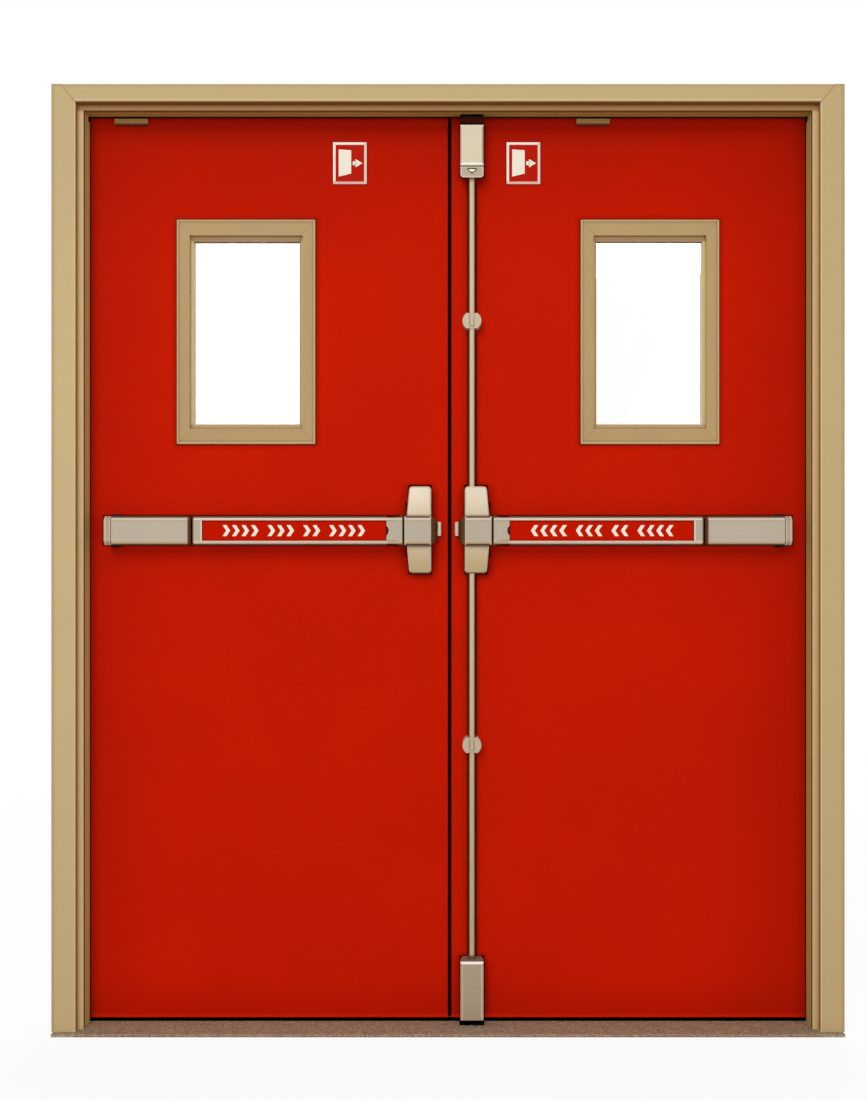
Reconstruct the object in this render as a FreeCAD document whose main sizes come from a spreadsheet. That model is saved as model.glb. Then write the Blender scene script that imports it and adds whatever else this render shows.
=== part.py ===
"""A steel double-leaf exit door: frame, two leaves with vision panels, push bars and a rod latch.

Lengths are in millimetres. X runs to the right of a person who faces the push side, Y away from
that person and Z up. The origin lies on the underside of the threshold, midway between the jambs,
in the plane of the frame's front face. Every piece stands as it does when both leaves are shut.
"""
import FreeCAD, Part
import math
import os
import re

import Sketcher
from FreeCAD import Vector

# Driving sizes, each with a name of its own in the sheet
SIZES = {
    # Frame of folded sheet
    "frame_width": 1800,
    "frame_height": 2150,
    "jamb_face": 55,
    "head_face": 42,
    "return_depth": 18,
    "step_width": 14,
    "stop_depth": 72,
    "frame_sheet": 2,
    "back_bend": 12,
    "frame_bend": 2.4,
    "mitre_run": 35,
    "mitre_overrun": 28,
    "anchor_radius": 5,
    "anchor_inset": 12,
    "anchor_spacing_outer": 1400,
    "anchor_spacing_inner": 560,
    # Threshold under the frame and the leaves
    "threshold_thickness": 6,
    "threshold_nose": 18,
    "threshold_setback": 4,
    "threshold_bevel": 3,
    # Seal between the stop and the leaves
    "seal_thickness": 2.7,
    "seal_width": 8,
    "seal_inset": 3,
    "seal_clearance": 0.3,
    # Leaves
    "leaf_thickness": 45,
    "leaf_side_gap": 3,
    "leaf_bottom_gap": 8,
    "leaf_edge": 1.5,
    "meeting_gap": 7,
    "meeting_offset": 4,
    "meeting_seal_depth": 7,
    "meeting_seal_width": 6,
    "meeting_seal_clearance": 1.4,
    # Vision panels
    "vision_offset": 47.3,
    "vision_rise": 168,
    "vision_drop": 246,
    "vision_width": 322,
    "vision_side": 30,
    "vision_top": 36.5,
    "trim_thickness": 6,
    "trim_chamfer": 1.5,
    "trim_rim": 4.5,
    "trim_rim_rise": 2,
    "trim_neck": 2,
    "trim_clearance": 0.5,
    "bead_depth": 15,
    "bead_side": 7,
    "bead_top": 10,
    "glass_thickness": 6,
    "glass_clearance": 0.3,
    # Hinges
    "hinge_inset_low": 246,
    "hinge_inset_high": 221,
    "hinge_height": 120,
    "hinge_plate": 1.1,
    "hinge_reach": 30,
    "hinge_offset": 8,
    "knuckle_radius": 7,
    "knuckle_gap": 0.6,
    "pin_radius": 3.5,
    "pin_clearance": 0.08,
    # Push bars
    "bar_height": 1143,
    "bar_inset": 55.4,
    "bar_tall": 66,
    "bar_projection": 60,
    "bevel_height": 9,
    "bevel_depth": 7,
    "device_start": 38.7,
    "block_length": 61.3,
    "block_projection": 65,
    "block_depth": 22,
    "block_edge": 4,
    "seam": 3.6,
    "flare_length": 36.5,
    "flare_small": 60,
    "flare_middle": 63,
    "flare_large": 70,
    "flare_turn": 24,
    "flare_core": 38,
    "flare_projection": 64,
    "notch_radius": 15,
    "notch_bite": 5,
    "notch_depth": 8,
    "strip_tall": 46.6,
    "strip_thickness": 0.8,
    "strip_recess": 0.2,
    "lip_width": 4,
    "lip_rise": 1.2,
    "lip_edge": 0.8,
    "pad_end_length": 21.5,
    "pad_wall": 3,
    "pad_depth": 40,
    "pad_gap": 10,
    "case_length": 176.5,
    "cap_length": 18,
    "cap_seam": 0.8,
    "cap_round": 5,
    "rail_tall": 50,
    "rail_depth": 37,
    "rail_wall": 3,
    "slide_length": 15,
    "slide_front": 44,
    "slide_clearance": 0.3,
    "end_bracket_length": 25,
    "end_bracket_slope": 6,
    "end_bracket_tall": 77,
    "end_bracket_shift": 10.4,
    "end_bracket_depth": 18,
    # Centre cases behind the blocks
    "hump_up": 102,
    "hump_down": 98,
    "hump_width": 56,
    "hump_taper": 6,
    "hump_end": 34,
    "hump_round": 8,
    "hump_edge": 3,
    # Latches beside the centre cases
    "flange_length": 14.2,
    "flange_flat": 3.5,
    "flange_tall": 64,
    "flange_slope": 12,
    "flange_depth": 26,
    "bolt_tall": 32,
    "bolt_rise": 4.5,
    "bolt_thick": 14,
    "bolt_reach": 8.7,
    "bolt_length": 13,
    "bolt_clearance": 0.3,
    "bolt_standoff": 4,
    "bolt_round": 3,
    # Rod latches of the right leaf
    "rod_place": 55,
    "rod_radius": 8.1,
    "rod_standoff": 22,
    "rod_clearance": 0.3,
    "rod_travel": 12,
    "rod_cover": 18,
    "bore_margin": 5,
    "tip_radius": 6,
    "tip_show": 2,
    "latch_case_width": 52.6,
    "latch_case_projection": 48,
    "latch_base_projection": 43,
    "latch_case_edge": 4,
    "latch_corner": 7,
    "base_edge": 2.5,
    "base_slope": 11,
    "shield_width": 21,
    "shield_tall": 13.5,
    "shield_shoulder": 4.5,
    "shield_drop": 4.5,
    "shield_groove": 2.4,
    "shield_depth": 2,
    "top_case_drop": 27.5,
    "top_cover_tall": 94,
    "top_base_tall": 26,
    "bottom_case_rise": 7,
    "bottom_case_tall": 135,
    "bottom_case_taper": 5,
    "bottom_case_shoulder": 25,
    "guide_radius": 21.5,
    "guide_tall": 35,
    "guide_projection": 37,
    "guide_slot": 14,
    "guide_slot_depth": 5,
    "guide_bar": 6,
    "guide_bar_tall": 22,
    "guide_rise_low": 49.8,
    "guide_rise_high": 26.8,
    "strike_tall": 22,
    "strike_front": 41,
    "strike_depth": 28,
    "strike_bevel": 3,
    "socket_radius": 9,
    # Small plates under the head and on the leaves
    "tab_inset": 111.2,
    "tab_place": 335.8,
    "tab_length": 76,
    "tab_tall": 16.5,
    "tab_depth": 8,
    "tab_neck": 3,
    "tab_edge": 1.2,
    "tab_setback": 1,
    "sign_left": 227.7,
    "sign_right": 175,
    "sign_width": 78,
    "sign_height": 97,
    "sign_drop": 66,
    "sign_thickness": 1.5,
}

SIDES = {"left": "-1", "right": "1"}

# A face looks forward when its normal leans this far to the front
FORWARD = 0.6

document = FreeCAD.newDocument("exit_door")
sheet = document.addObject("Spreadsheet::Sheet", "size")
for row, (alias, number) in enumerate(SIZES.items(), 1):
    sheet.set(f"A{row}", alias)
    sheet.set(f"B{row}", str(number))
    sheet.setAlias(f"B{row}", alias)
document.recompute()

# Places that several pieces share, as formulas of the sizes above
FLOOR = "threshold_thickness"
HEAD_TOP = f"({FLOOR} + frame_height)"
FRAME_DEPTH = "(stop_depth + seal_thickness + seal_clearance + leaf_thickness)"
LEAF_FRONT = "(stop_depth + seal_thickness + seal_clearance)"
LEAF_BACK = FRAME_DEPTH
REBATE = "(frame_width / 2 - jamb_face)"
CLEAR_WIDTH = f"({REBATE} - step_width)"
REBATE_TOP = f"({HEAD_TOP} - head_face)"
SOFFIT = f"({REBATE_TOP} - step_width)"
LEAF_BOTTOM = f"({FLOOR} + leaf_bottom_gap)"
LEAF_TOP = f"({REBATE_TOP} - leaf_side_gap)"
LEAF_OUTER = f"({REBATE} - leaf_side_gap)"
LEAF_MIDDLE = f"({LEAF_FRONT} + leaf_thickness / 2)"
HINGE_PLACE = f"({REBATE} - leaf_side_gap / 2)"
HINGE_DEPTH = f"({LEAF_BACK} + hinge_offset)"
HINGE_LOW = f"({LEAF_BOTTOM} + hinge_inset_low)"
HINGE_HIGH = f"({LEAF_TOP} - hinge_inset_high)"
HINGE_MIDDLE = f"(({HINGE_LOW} + {HINGE_HIGH}) / 2)"
VISION_MIDDLE = f"({LEAF_OUTER} / 2 + vision_offset)"
VISION_BOTTOM = "(bar_height + bar_tall / 2 + vision_rise)"
VISION_TOP = f"({LEAF_TOP} - vision_drop)"
BLOCK_END = "(device_start + block_length)"
FLARE_START = f"({BLOCK_END} + seam)"
STRIP_START = f"({FLARE_START} + flare_length)"
CAP_END = f"({LEAF_OUTER} - bar_inset)"
CASE_END = f"({CAP_END} - cap_length)"
CASE_START = f"({CASE_END} - case_length)"
PAD_END = f"({CASE_START} - pad_gap)"
STRIP_END = f"({PAD_END} - pad_end_length)"
BAR_FRONT = f"({LEAF_FRONT} - bar_projection)"
ROD_DEPTH = f"({LEAF_FRONT} - rod_standoff)"
TOP_CASE_TOP = f"({SOFFIT} - top_case_drop)"
TOP_COVER_BOTTOM = f"({TOP_CASE_TOP} - top_cover_tall)"
TOP_CASE_BOTTOM = f"({TOP_COVER_BOTTOM} - top_base_tall)"
BOTTOM_CASE_BOTTOM = f"({LEAF_BOTTOM} + bottom_case_rise)"
BOTTOM_CASE_TOP = f"({BOTTOM_CASE_BOTTOM} + bottom_case_tall)"
HUMP_TOP = "(bar_height + hump_up)"
HUMP_BOTTOM = "(bar_height - hump_down)"
GUIDE_LOW = f"(({BOTTOM_CASE_TOP} + {HUMP_BOTTOM}) / 2 + guide_rise_low)"
GUIDE_HIGH = f"(({HUMP_TOP} + {TOP_CASE_BOTTOM}) / 2 + guide_rise_high)"
TAB_PLACES = {"left": f"({REBATE} - tab_inset)", "right": "tab_place"}


# Formulas and their values

def formula(text):
    """Put the sheet's name before each size that a formula names."""
    def with_sheet(word):
        return "size." + word.group() if word.group() in SIZES else word.group()

    return re.sub(r"[a-z_]+", with_sheet, text)


def size(text):
    """Work out a formula of the named sizes."""
    return float(sheet.evalExpression(formula(text)))


def bind(feature, name, text):
    """Let a formula drive one property of a feature."""
    feature.setExpression(name, formula(text))


def other_way(text):
    """The same length towards the other side."""
    return f"-1 * ({text})"


def on_side(side, text):
    """An X place at this distance from the middle, on the left or right."""
    return f"{SIDES[side]} * ({text})"


# Sketches

def new_body(name):
    """An empty body, with the label that names its file."""
    body = document.addObject("PartDesign::Body", name)
    body.Label = name
    return body


def new_sketch(body, role, offset="0"):
    """A sketch parallel to one of the body's own origin planes, moved along that plane's normal."""
    drawn = body.newObject("Sketcher::SketchObject", "sketch")
    plane = next(item for item in body.Origin.OriginFeatures if item.Role == role)
    drawn.AttachmentSupport = (plane, [""])
    drawn.MapMode = "FlatFace"
    bind(drawn, "AttachmentOffset.Base.z", offset)
    return drawn


def pin_point(drawn, index, end, across, up):
    """Hold one point of a sketch at two formulas."""
    for kind, text in (("DistanceX", across), ("DistanceY", up)):
        number = drawn.addConstraint(Sketcher.Constraint(kind, -1, 1, index, end, size(text)))
        bind(drawn, f"Constraints[{number}]", text)


def arc_between(start, end, radius):
    """The short arc from start to end: it turns left where the radius is positive, else right."""
    chord = end - start
    turn = math.copysign(1, radius)
    left = Vector(-chord.y, chord.x, 0).normalize()
    centre = (start + end) / 2 + left * turn * math.sqrt(radius ** 2 - (chord.Length / 2) ** 2)
    first, last = (start, end) if turn > 0 else (end, start)
    angles = [math.atan2(point.y - centre.y, point.x - centre.x) for point in (first, last)]
    return Part.ArcOfCircle(Part.Circle(centre, Vector(0, 0, 1), abs(radius)), *angles)


def draw_outline(drawn, corners):
    """A closed outline through corners (x, y). A third value makes the side that ends there an arc."""
    points = [Vector(size(corner[0]), size(corner[1]), 0) for corner in corners]
    ends = []
    for index, corner in enumerate(corners):
        start, end = points[index - 1], points[index]
        if len(corner) == 2:
            number = drawn.addGeometry(Part.LineSegment(start, end))
            ends.append((number, 1, 2))
            continue
        radius = size(corner[2])
        number = drawn.addGeometry(arc_between(start, end, radius))
        ends.append((number, 1, 2) if radius > 0 else (number, 2, 1))
        held = drawn.addConstraint(Sketcher.Constraint("Radius", number, abs(radius)))
        bind(drawn, f"Constraints[{held}]", f"abs({corner[2]})")
    for index, corner in enumerate(corners):
        here, following = ends[index], ends[(index + 1) % len(ends)]
        drawn.addConstraint(Sketcher.Constraint("Coincident", here[0], here[2], following[0], following[1]))
        pin_point(drawn, here[0], here[2], corner[0], corner[1])


def draw_rectangle(drawn, left, right, low, high):
    """A closed rectangle between four formulas."""
    draw_outline(drawn, [(right, low), (right, high), (left, high), (left, low)])


def draw_circle(drawn, across, up, radius):
    """A circle about a point held at two formulas."""
    number = drawn.addGeometry(Part.Circle(Vector(size(across), size(up), 0), Vector(0, 0, 1), size(radius)))
    pin_point(drawn, number, 3, across, up)
    held = drawn.addConstraint(Sketcher.Constraint("Radius", number, size(radius)))
    bind(drawn, f"Constraints[{held}]", radius)


# Features

def pad(body, drawn, length, reverse=False):
    """Thicken a sketch along its normal, or the other way."""
    made = body.newObject("PartDesign::Pad", "pad")
    made.Profile = drawn
    made.Reversed = reverse
    bind(made, "Length", length)
    document.recompute()
    return made


def cut(body, drawn, depth=None, reverse=False):
    """Cut a sketch out of a body: right through, or to a depth against the sketch's normal."""
    before = body.Tip.Shape.Volume
    made = body.newObject("PartDesign::Pocket", "pocket")
    made.Profile = drawn
    if depth is None:
        made.Type = "ThroughAll"
        made.SideType = "Symmetric"
    else:
        made.Reversed = reverse
        bind(made, "Length", depth)
    document.recompute()
    if made.Shape.Volume >= before:
        raise ValueError(f"a pocket of {body.Label} cuts nothing")
    return made


def edges_where(feature, test):
    """Names of the straight edges whose middle and direction pass a test."""
    names = []
    for number, edge in enumerate(feature.Shape.Edges, 1):
        if isinstance(edge.Curve, Part.Line) and test(edge.CenterOfMass, edge.Curve.Direction):
            names.append(f"Edge{number}")
    if not names:
        raise ValueError(f"no edge of {feature.Label} passes the test")
    return names


def dress_edges(body, kind, amount, test):
    """Round or bevel the edges of the body's tip that pass a test."""
    base = body.Tip
    made = body.newObject(f"PartDesign::{kind}", kind.lower())
    made.Base = (base, edges_where(base, test))
    bind(made, "Radius" if kind == "Fillet" else "Size", amount)
    document.recompute()
    return made


def looks_forward(face):
    """Does a face look mostly to the front?"""
    u_low, u_high, v_low, v_high = face.ParameterRange
    return face.normalAt((u_low + u_high) / 2, (v_low + v_high) / 2).y < -FORWARD


def dress_front_rim(body, kind, amount):
    """Round or bevel the edges between the faces that look forward and the rest."""
    base = body.Tip
    names = []
    for number, edge in enumerate(base.Shape.Edges, 1):
        sides = [looks_forward(face) for face in base.Shape.ancestorsOfType(edge, Part.Face)]
        if True in sides and False in sides:
            names.append(f"Edge{number}")
    made = body.newObject(f"PartDesign::{kind}", "rim")
    made.Base = (base, names)
    bind(made, "Radius" if kind == "Fillet" else "Size", amount)
    document.recompute()


def near(value, text, tolerance=0.01):
    """Does a measured place match a formula?"""
    return abs(value - size(text)) < tolerance


def along(direction, axis):
    """Does an edge run along this axis, either way?"""
    return abs(getattr(direction, axis)) > 0.999


def box(name, x, y, z):
    """A plain block between three pairs of formulas."""
    made = document.addObject("Part::Box", name)
    for axis, length, (low, high) in (("x", "Length", x), ("y", "Width", y), ("z", "Height", z)):
        bind(made, f"Placement.Base.{axis}", low)
        bind(made, length, f"({high}) - ({low})")
    return made


def upright_cylinder(name, x, y, z, radius):
    """A cylinder along Z between two heights."""
    made = document.addObject("Part::Cylinder", name)
    bind(made, "Placement.Base.x", x)
    bind(made, "Placement.Base.y", y)
    bind(made, "Placement.Base.z", z[0])
    bind(made, "Height", f"({z[1]}) - ({z[0]})")
    bind(made, "Radius", radius)
    return made


def joined(name, pieces):
    """One solid from pieces that overlap or touch."""
    made = document.addObject("Part::MultiFuse", name)
    made.Shapes = pieces
    return made


def without(name, base, tool):
    """A piece less another."""
    made = document.addObject("Part::Cut", name)
    made.Base = base
    made.Tool = tool
    return made


def together(name, pieces):
    """Like pieces that share a node as separate solids."""
    made = document.addObject("Part::Compound", name)
    made.Links = pieces
    made.Label = name
    return made


# Frame

def folded_section(out, across):
    """The frame's folded sheet: face, return, step, stop, rebate and back bends.

    out is the distance of the wall edge, across the distance of the face's inner edge, both from
    the same middle. Each corner comes back as (distance, depth from the front face).
    """
    sheet_in = f"({across} + frame_sheet)"
    step_in = f"({across} - step_width)"
    return [
        (out, "back_bend"), (out, "0"), (across, "0"), (across, "return_depth"),
        (step_in, "return_depth"), (step_in, "stop_depth"), (across, "stop_depth"),
        (across, FRAME_DEPTH), (out, FRAME_DEPTH), (out, f"{FRAME_DEPTH} - back_bend"),
        (f"{out} - frame_sheet", f"{FRAME_DEPTH} - back_bend"),
        (f"{out} - frame_sheet", f"{FRAME_DEPTH} - frame_sheet"),
        (sheet_in, f"{FRAME_DEPTH} - frame_sheet"), (sheet_in, "stop_depth - frame_sheet"),
        (f"{step_in} + frame_sheet", "stop_depth - frame_sheet"),
        (f"{step_in} + frame_sheet", "return_depth + frame_sheet"),
        (sheet_in, "return_depth + frame_sheet"), (sheet_in, "frame_sheet"),
        (f"{out} - frame_sheet", "frame_sheet"), (f"{out} - frame_sheet", "back_bend"),
    ]


def mitre_line(side):
    """Corners of the mitre between jamb and head, from the head's top edge to below the soffit."""
    return [
        (on_side(side, f"{REBATE} + mitre_run"), HEAD_TOP),
        (on_side(side, REBATE), REBATE_TOP),
        (on_side(side, f"{REBATE} - mitre_overrun"), f"{REBATE_TOP} - mitre_overrun"),
    ]


def make_jamb(side):
    """One upright of the frame, mitred at the top and drilled for wall anchors in its rebate."""
    body = new_body(f"{side}_jamb")
    drawn = new_sketch(body, "XY_Plane", FLOOR)
    section = folded_section("frame_width / 2", REBATE)
    draw_outline(drawn, [(on_side(side, x), y) for x, y in section])
    pad(body, drawn, "frame_height")
    dress_edges(body, "Fillet", "frame_bend", lambda middle, way: along(way, "z") and is_front_bend(middle))
    drawn = new_sketch(body, "XZ_Plane")
    above = f"{HEAD_TOP} + mitre_overrun"
    draw_outline(drawn, mitre_line(side) + [
        (on_side(side, f"{REBATE} - mitre_overrun"), above), (on_side(side, f"{REBATE} + mitre_run"), above)])
    cut(body, drawn)
    drawn = new_sketch(body, "YZ_Plane", on_side(side, REBATE))
    middle = f"({FLOOR} + frame_height / 2)"
    depth = f"{FRAME_DEPTH} - anchor_inset"
    for spacing in ("anchor_spacing_outer", "anchor_spacing_inner"):
        for way in ("+", "-"):
            draw_circle(drawn, depth, f"{middle} {way} {spacing} / 2", "anchor_radius")
    cut(body, drawn, "frame_sheet", reverse=side == "right")
    return body


def is_front_bend(middle):
    """Is this one of the two outer bends that show on each upright's front, at the face and the stop?"""
    across = abs(middle.x)
    face = near(middle.y, "0") and (near(across, REBATE) or near(across, "frame_width / 2"))
    stop = near(middle.y, "return_depth") and near(across, f"{REBATE} - step_width")
    return face or stop


def make_head():
    """The frame's top piece between the two mitres."""
    body = new_body("frame_head")
    drawn = new_sketch(body, "YZ_Plane", "frame_width / -2")
    section = folded_section("frame_height", "(frame_height - head_face)")
    draw_outline(drawn, [(y, f"{FLOOR} + {z}") for z, y in section])
    pad(body, drawn, "frame_width")

    def bend_test(middle, way):
        face = near(middle.y, "0") and (near(middle.z, REBATE_TOP) or near(middle.z, HEAD_TOP))
        return along(way, "x") and (face or near(middle.y, "return_depth") and near(middle.z, SOFFIT))

    dress_edges(body, "Fillet", "frame_bend", bend_test)
    for side in SIDES:
        drawn = new_sketch(body, "XZ_Plane")
        outside = on_side(side, "frame_width")
        low, above = f"{REBATE_TOP} - mitre_overrun", f"{HEAD_TOP} + head_face"
        draw_outline(drawn, [(on_side(side, f"{REBATE} + mitre_run * 2"), above)] + mitre_line(side)[1:]
                     + [(outside, low), (outside, above)])
        cut(body, drawn)
    return body


def make_threshold():
    """The plate that the jambs stand on, with bevelled edges and a socket for the lower bolt."""
    body = new_body("threshold")
    half = "(frame_width / 2 - threshold_setback)"
    drawn = new_sketch(body, "YZ_Plane", f"-1 * {half}")
    front, back = "(-1 * threshold_nose)", FRAME_DEPTH
    bevel_top = "(threshold_thickness - threshold_bevel)"
    draw_outline(drawn, [
        (front, "0"), (back, "0"), (back, bevel_top), (f"{back} - threshold_bevel", FLOOR),
        (f"{front} + threshold_bevel", FLOOR), (front, bevel_top)])
    pad(body, drawn, f"2 * {half}")
    drawn = new_sketch(body, "XY_Plane")
    draw_circle(drawn, "rod_place", ROD_DEPTH, "socket_radius")
    cut(body, drawn)
    return body


def make_frame_seal():
    """Three strips on the stop's rear face that the shut leaves rest against."""
    depth = ("stop_depth", "stop_depth + seal_thickness")
    inner = f"({CLEAR_WIDTH} + seal_inset)"
    low, high = f"{SOFFIT} + seal_inset", f"{SOFFIT} + seal_inset + seal_width"
    strips = [box("head_seal", (f"-1 * {inner}", inner), depth, (low, high))]
    for side in SIDES:
        ends = [on_side(side, inner), on_side(side, f"{inner} + seal_width")]
        strips.append(box(f"{side}_seal", ends if side == "right" else ends[::-1], depth,
                          (LEAF_BOTTOM, f"{SOFFIT} + seal_inset - seal_clearance")))
    return together("frame_seal", strips)


def make_head_tabs():
    """The two small plates under the head, each hung from a neck at its back."""
    tabs = []
    for side, place in TAB_PLACES.items():
        body = document.addObject("PartDesign::Body", f"{side}_tab")
        drawn = new_sketch(body, "YZ_Plane", f"{on_side(side, place)} - tab_length / 2")
        back, low, shoulder = "(stop_depth - tab_setback)", f"({SOFFIT} - tab_tall)", f"({SOFFIT} - tab_neck)"
        front, neck = f"({back} - tab_depth)", f"({back} - tab_neck)"
        draw_outline(drawn, [(front, low), (back, low), (back, SOFFIT), (neck, SOFFIT), (neck, shoulder),
                             (front, shoulder)])
        pad(body, drawn, "tab_length")
        dress_edges(body, "Chamfer", "tab_edge", lambda middle, way: near(middle.y, front))
        tabs.append(body)
    return together("head_tabs", tabs)


def make_top_strike():
    """The block under the head that keeps the upper bolt, open below."""
    body = new_body("top_strike")
    width = "latch_case_width"
    drawn = new_sketch(body, "YZ_Plane", f"rod_place - {width} / 2")
    front, low = "strike_front", f"({SOFFIT} - strike_tall)"
    back = f"({front} + strike_depth)"
    draw_outline(drawn, [(front, f"{low} + strike_bevel"), (f"{front} + strike_bevel", low),
                         (back, low), (back, SOFFIT), (front, SOFFIT)])
    pad(body, drawn, width)
    drawn = new_sketch(body, "XY_Plane", low)
    draw_circle(drawn, "rod_place", ROD_DEPTH, "socket_radius")
    cut(body, drawn, "strike_tall - frame_sheet", reverse=True)
    return body


# Hinges

def hinge_parts(side, centre, number):
    """The frame's half with its pin, and the leaf's half that lifts off, of one hinge at this height."""
    low, high = f"({centre} - hinge_height / 2)", f"({centre} + hinge_height / 2)"
    lower = (low, f"{centre} - knuckle_gap / 2")
    upper = (f"{centre} + knuckle_gap / 2", high)
    pin_x = on_side(side, HINGE_PLACE)
    front = f"({LEAF_BACK} - hinge_reach)"

    def plate(name, near_x, far_x, y, z):
        ends = [on_side(side, near_x), on_side(side, far_x)]
        return box(name, ends if side == "right" else ends[::-1], y, z)

    def tag(part):
        return f"{side}_{part}_{number}"

    frame_x = (f"{REBATE} - hinge_plate", REBATE)
    leaf_x = (LEAF_OUTER, f"{LEAF_OUTER} + hinge_plate")
    short = (front, f"{HINGE_DEPTH} - knuckle_radius - knuckle_gap")
    long = (front, HINGE_DEPTH)
    frame_half = joined(tag("frame_half"), [
        plate(tag("frame_plate"), *frame_x, short, (low, high)),
        plate(tag("frame_ear"), *frame_x, long, lower),
        upright_cylinder(tag("knuckle_frame"), pin_x, HINGE_DEPTH, lower, "knuckle_radius"),
        upright_cylinder(tag("pin"), pin_x, HINGE_DEPTH, (low, high), "pin_radius"),
    ])
    leaf_solid = joined(tag("leaf_solid"), [
        plate(tag("leaf_plate"), *leaf_x, short, (low, high)),
        plate(tag("leaf_ear"), *leaf_x, long, upper),
        upright_cylinder(tag("knuckle_leaf"), pin_x, HINGE_DEPTH, upper, "knuckle_radius"),
    ])
    bore = upright_cylinder(tag("bore"), pin_x, HINGE_DEPTH, (low, high), "pin_radius + pin_clearance")
    return frame_half, without(tag("leaf_half"), leaf_solid, bore)


def make_hinges(side):
    """Three hinges of a leaf, as one node on the frame and one on the leaf."""
    pairs = [hinge_parts(side, centre, number)
             for number, centre in enumerate((HINGE_LOW, HINGE_MIDDLE, HINGE_HIGH), 1)]
    on_frame = together(f"{side}_frame_hinges", [pair[0] for pair in pairs])
    on_leaf = together(f"{side}_leaf_hinges", [pair[1] for pair in pairs])
    return [on_frame, on_leaf]


# Leaves

def leaf_inner(side):
    """X of a leaf's meeting edge."""
    return f"(meeting_offset {'-' if side == 'left' else '+'} meeting_gap / 2)"


def vision_box(side, sides, ends):
    """Left, right, bottom and top of a rectangle inside the vision trim's outline."""
    middle = on_side(side, VISION_MIDDLE)
    return (f"{middle} - vision_width / 2 + ({sides})", f"{middle} + vision_width / 2 - ({sides})",
            f"{VISION_BOTTOM} + ({ends})", f"{VISION_TOP} - ({ends})")


def make_leaf(side):
    """One flush leaf with rounded upright edges and the cut-out for its vision panel."""
    body = new_body(f"{side}_leaf_panel")
    drawn = new_sketch(body, "XZ_Plane", other_way(LEAF_FRONT))
    ends = (on_side(side, LEAF_OUTER), leaf_inner(side))
    draw_rectangle(drawn, *(ends if side == "left" else ends[::-1]), LEAF_BOTTOM, LEAF_TOP)
    pad(body, drawn, "leaf_thickness", reverse=True)
    dress_edges(body, "Fillet", "leaf_edge", lambda middle, way: along(way, "z"))
    drawn = new_sketch(body, "XZ_Plane")
    margin = "(trim_neck + trim_clearance)"
    draw_rectangle(drawn, *vision_box(side, f"vision_side - {margin}", f"vision_top - {margin}"))
    cut(body, drawn)
    return body


def make_trim(side, face):
    """The picture-frame trim of a vision panel with the neck and bead that hold the glass."""
    body = document.addObject("PartDesign::Body", f"{side}_trim_{face}")
    front = face == "front"
    plane = LEAF_FRONT if front else LEAF_BACK
    sign = "1" if front else "-1"

    def sketch_at(depth):
        """A sketch at this depth behind the trim's flat face, towards the glass."""
        outer = f"({plane} - {sign} * trim_thickness)"
        return new_sketch(body, "XZ_Plane", other_way(f"{outer} + {sign} * ({depth})"))

    drawn = sketch_at("0")
    draw_rectangle(drawn, *vision_box(side, "0", "0"))
    pad(body, drawn, "trim_thickness", reverse=front)
    outer_y = f"{plane} - {sign} * trim_thickness"
    dress_edges(body, "Chamfer", "trim_chamfer", lambda middle, way: near(middle.y, outer_y))
    drawn = sketch_at("0")
    draw_rectangle(drawn, *vision_box(side, "trim_rim", "trim_rim"))
    cut(body, drawn, "trim_rim_rise", reverse=not front)
    drawn = sketch_at("trim_thickness")
    draw_rectangle(drawn, *vision_box(side, "vision_side - trim_neck", "vision_top - trim_neck"))
    pad(body, drawn, "(leaf_thickness - glass_thickness) / 2 - glass_clearance", reverse=front)
    drawn = sketch_at("0")
    draw_rectangle(drawn, *vision_box(side, "vision_side", "vision_top"))
    cut(body, drawn, "bead_depth", reverse=not front)
    drawn = sketch_at("0")
    draw_rectangle(drawn, *vision_box(side, "vision_side + bead_side", "vision_top + bead_top"))
    cut(body, drawn)
    return body


def make_vision(side):
    """Trim on both faces of a leaf, and the glass between their beads."""
    trims = together(f"{side}_vision_trim", [make_trim(side, "front"), make_trim(side, "rear")])
    left, right, low, high = vision_box(side, "vision_side", "vision_top")
    depth = (f"{LEAF_MIDDLE} - glass_thickness / 2", f"{LEAF_MIDDLE} + glass_thickness / 2")
    glass = box(f"{side}_vision_glass", (left, right), depth, (low, high))
    return [trims, glass]


def make_meeting_seal():
    """The strip in the left leaf's meeting edge that closes the gap between the leaves."""
    left = leaf_inner("left")
    depth = (f"{LEAF_FRONT} + meeting_seal_depth", f"{LEAF_FRONT} + meeting_seal_depth + meeting_seal_width")
    return box("meeting_seal", (left, f"{left} + meeting_gap - meeting_seal_clearance"), depth,
               (LEAF_BOTTOM, LEAF_TOP))


# Push bars

def bar_section(front, back, half):
    """The bar's outer section as (depth, height) corners, with its bevelled upper and lower edges."""
    low, high = f"(bar_height - {half})", f"(bar_height + {half})"
    return [
        (back, low), (f"{front} + bevel_depth", low), (front, f"{low} + bevel_height"),
        (front, f"{high} - bevel_height"), (f"{front} + bevel_depth", high), (back, high),
    ]


def rectangle(front, back, low, high):
    """A (depth, height) outline between two depths and two heights."""
    return [(front, low), (back, low), (back, high), (front, high)]


def extrude_out(body, side, start, end, corners):
    """Pad a (depth, height) outline from one distance from the middle to another."""
    drawn = new_sketch(body, "YZ_Plane", on_side(side, start))
    draw_outline(drawn, corners)
    return pad(body, drawn, f"({end}) - ({start})", reverse=side == "left")


def make_case(side):
    """The fixed case between the pad and the end cap."""
    body = new_body(f"{side}_bar_case")
    extrude_out(body, side, CASE_START, CASE_END, bar_section(BAR_FRONT, LEAF_FRONT, "bar_tall / 2"))
    return body


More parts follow.
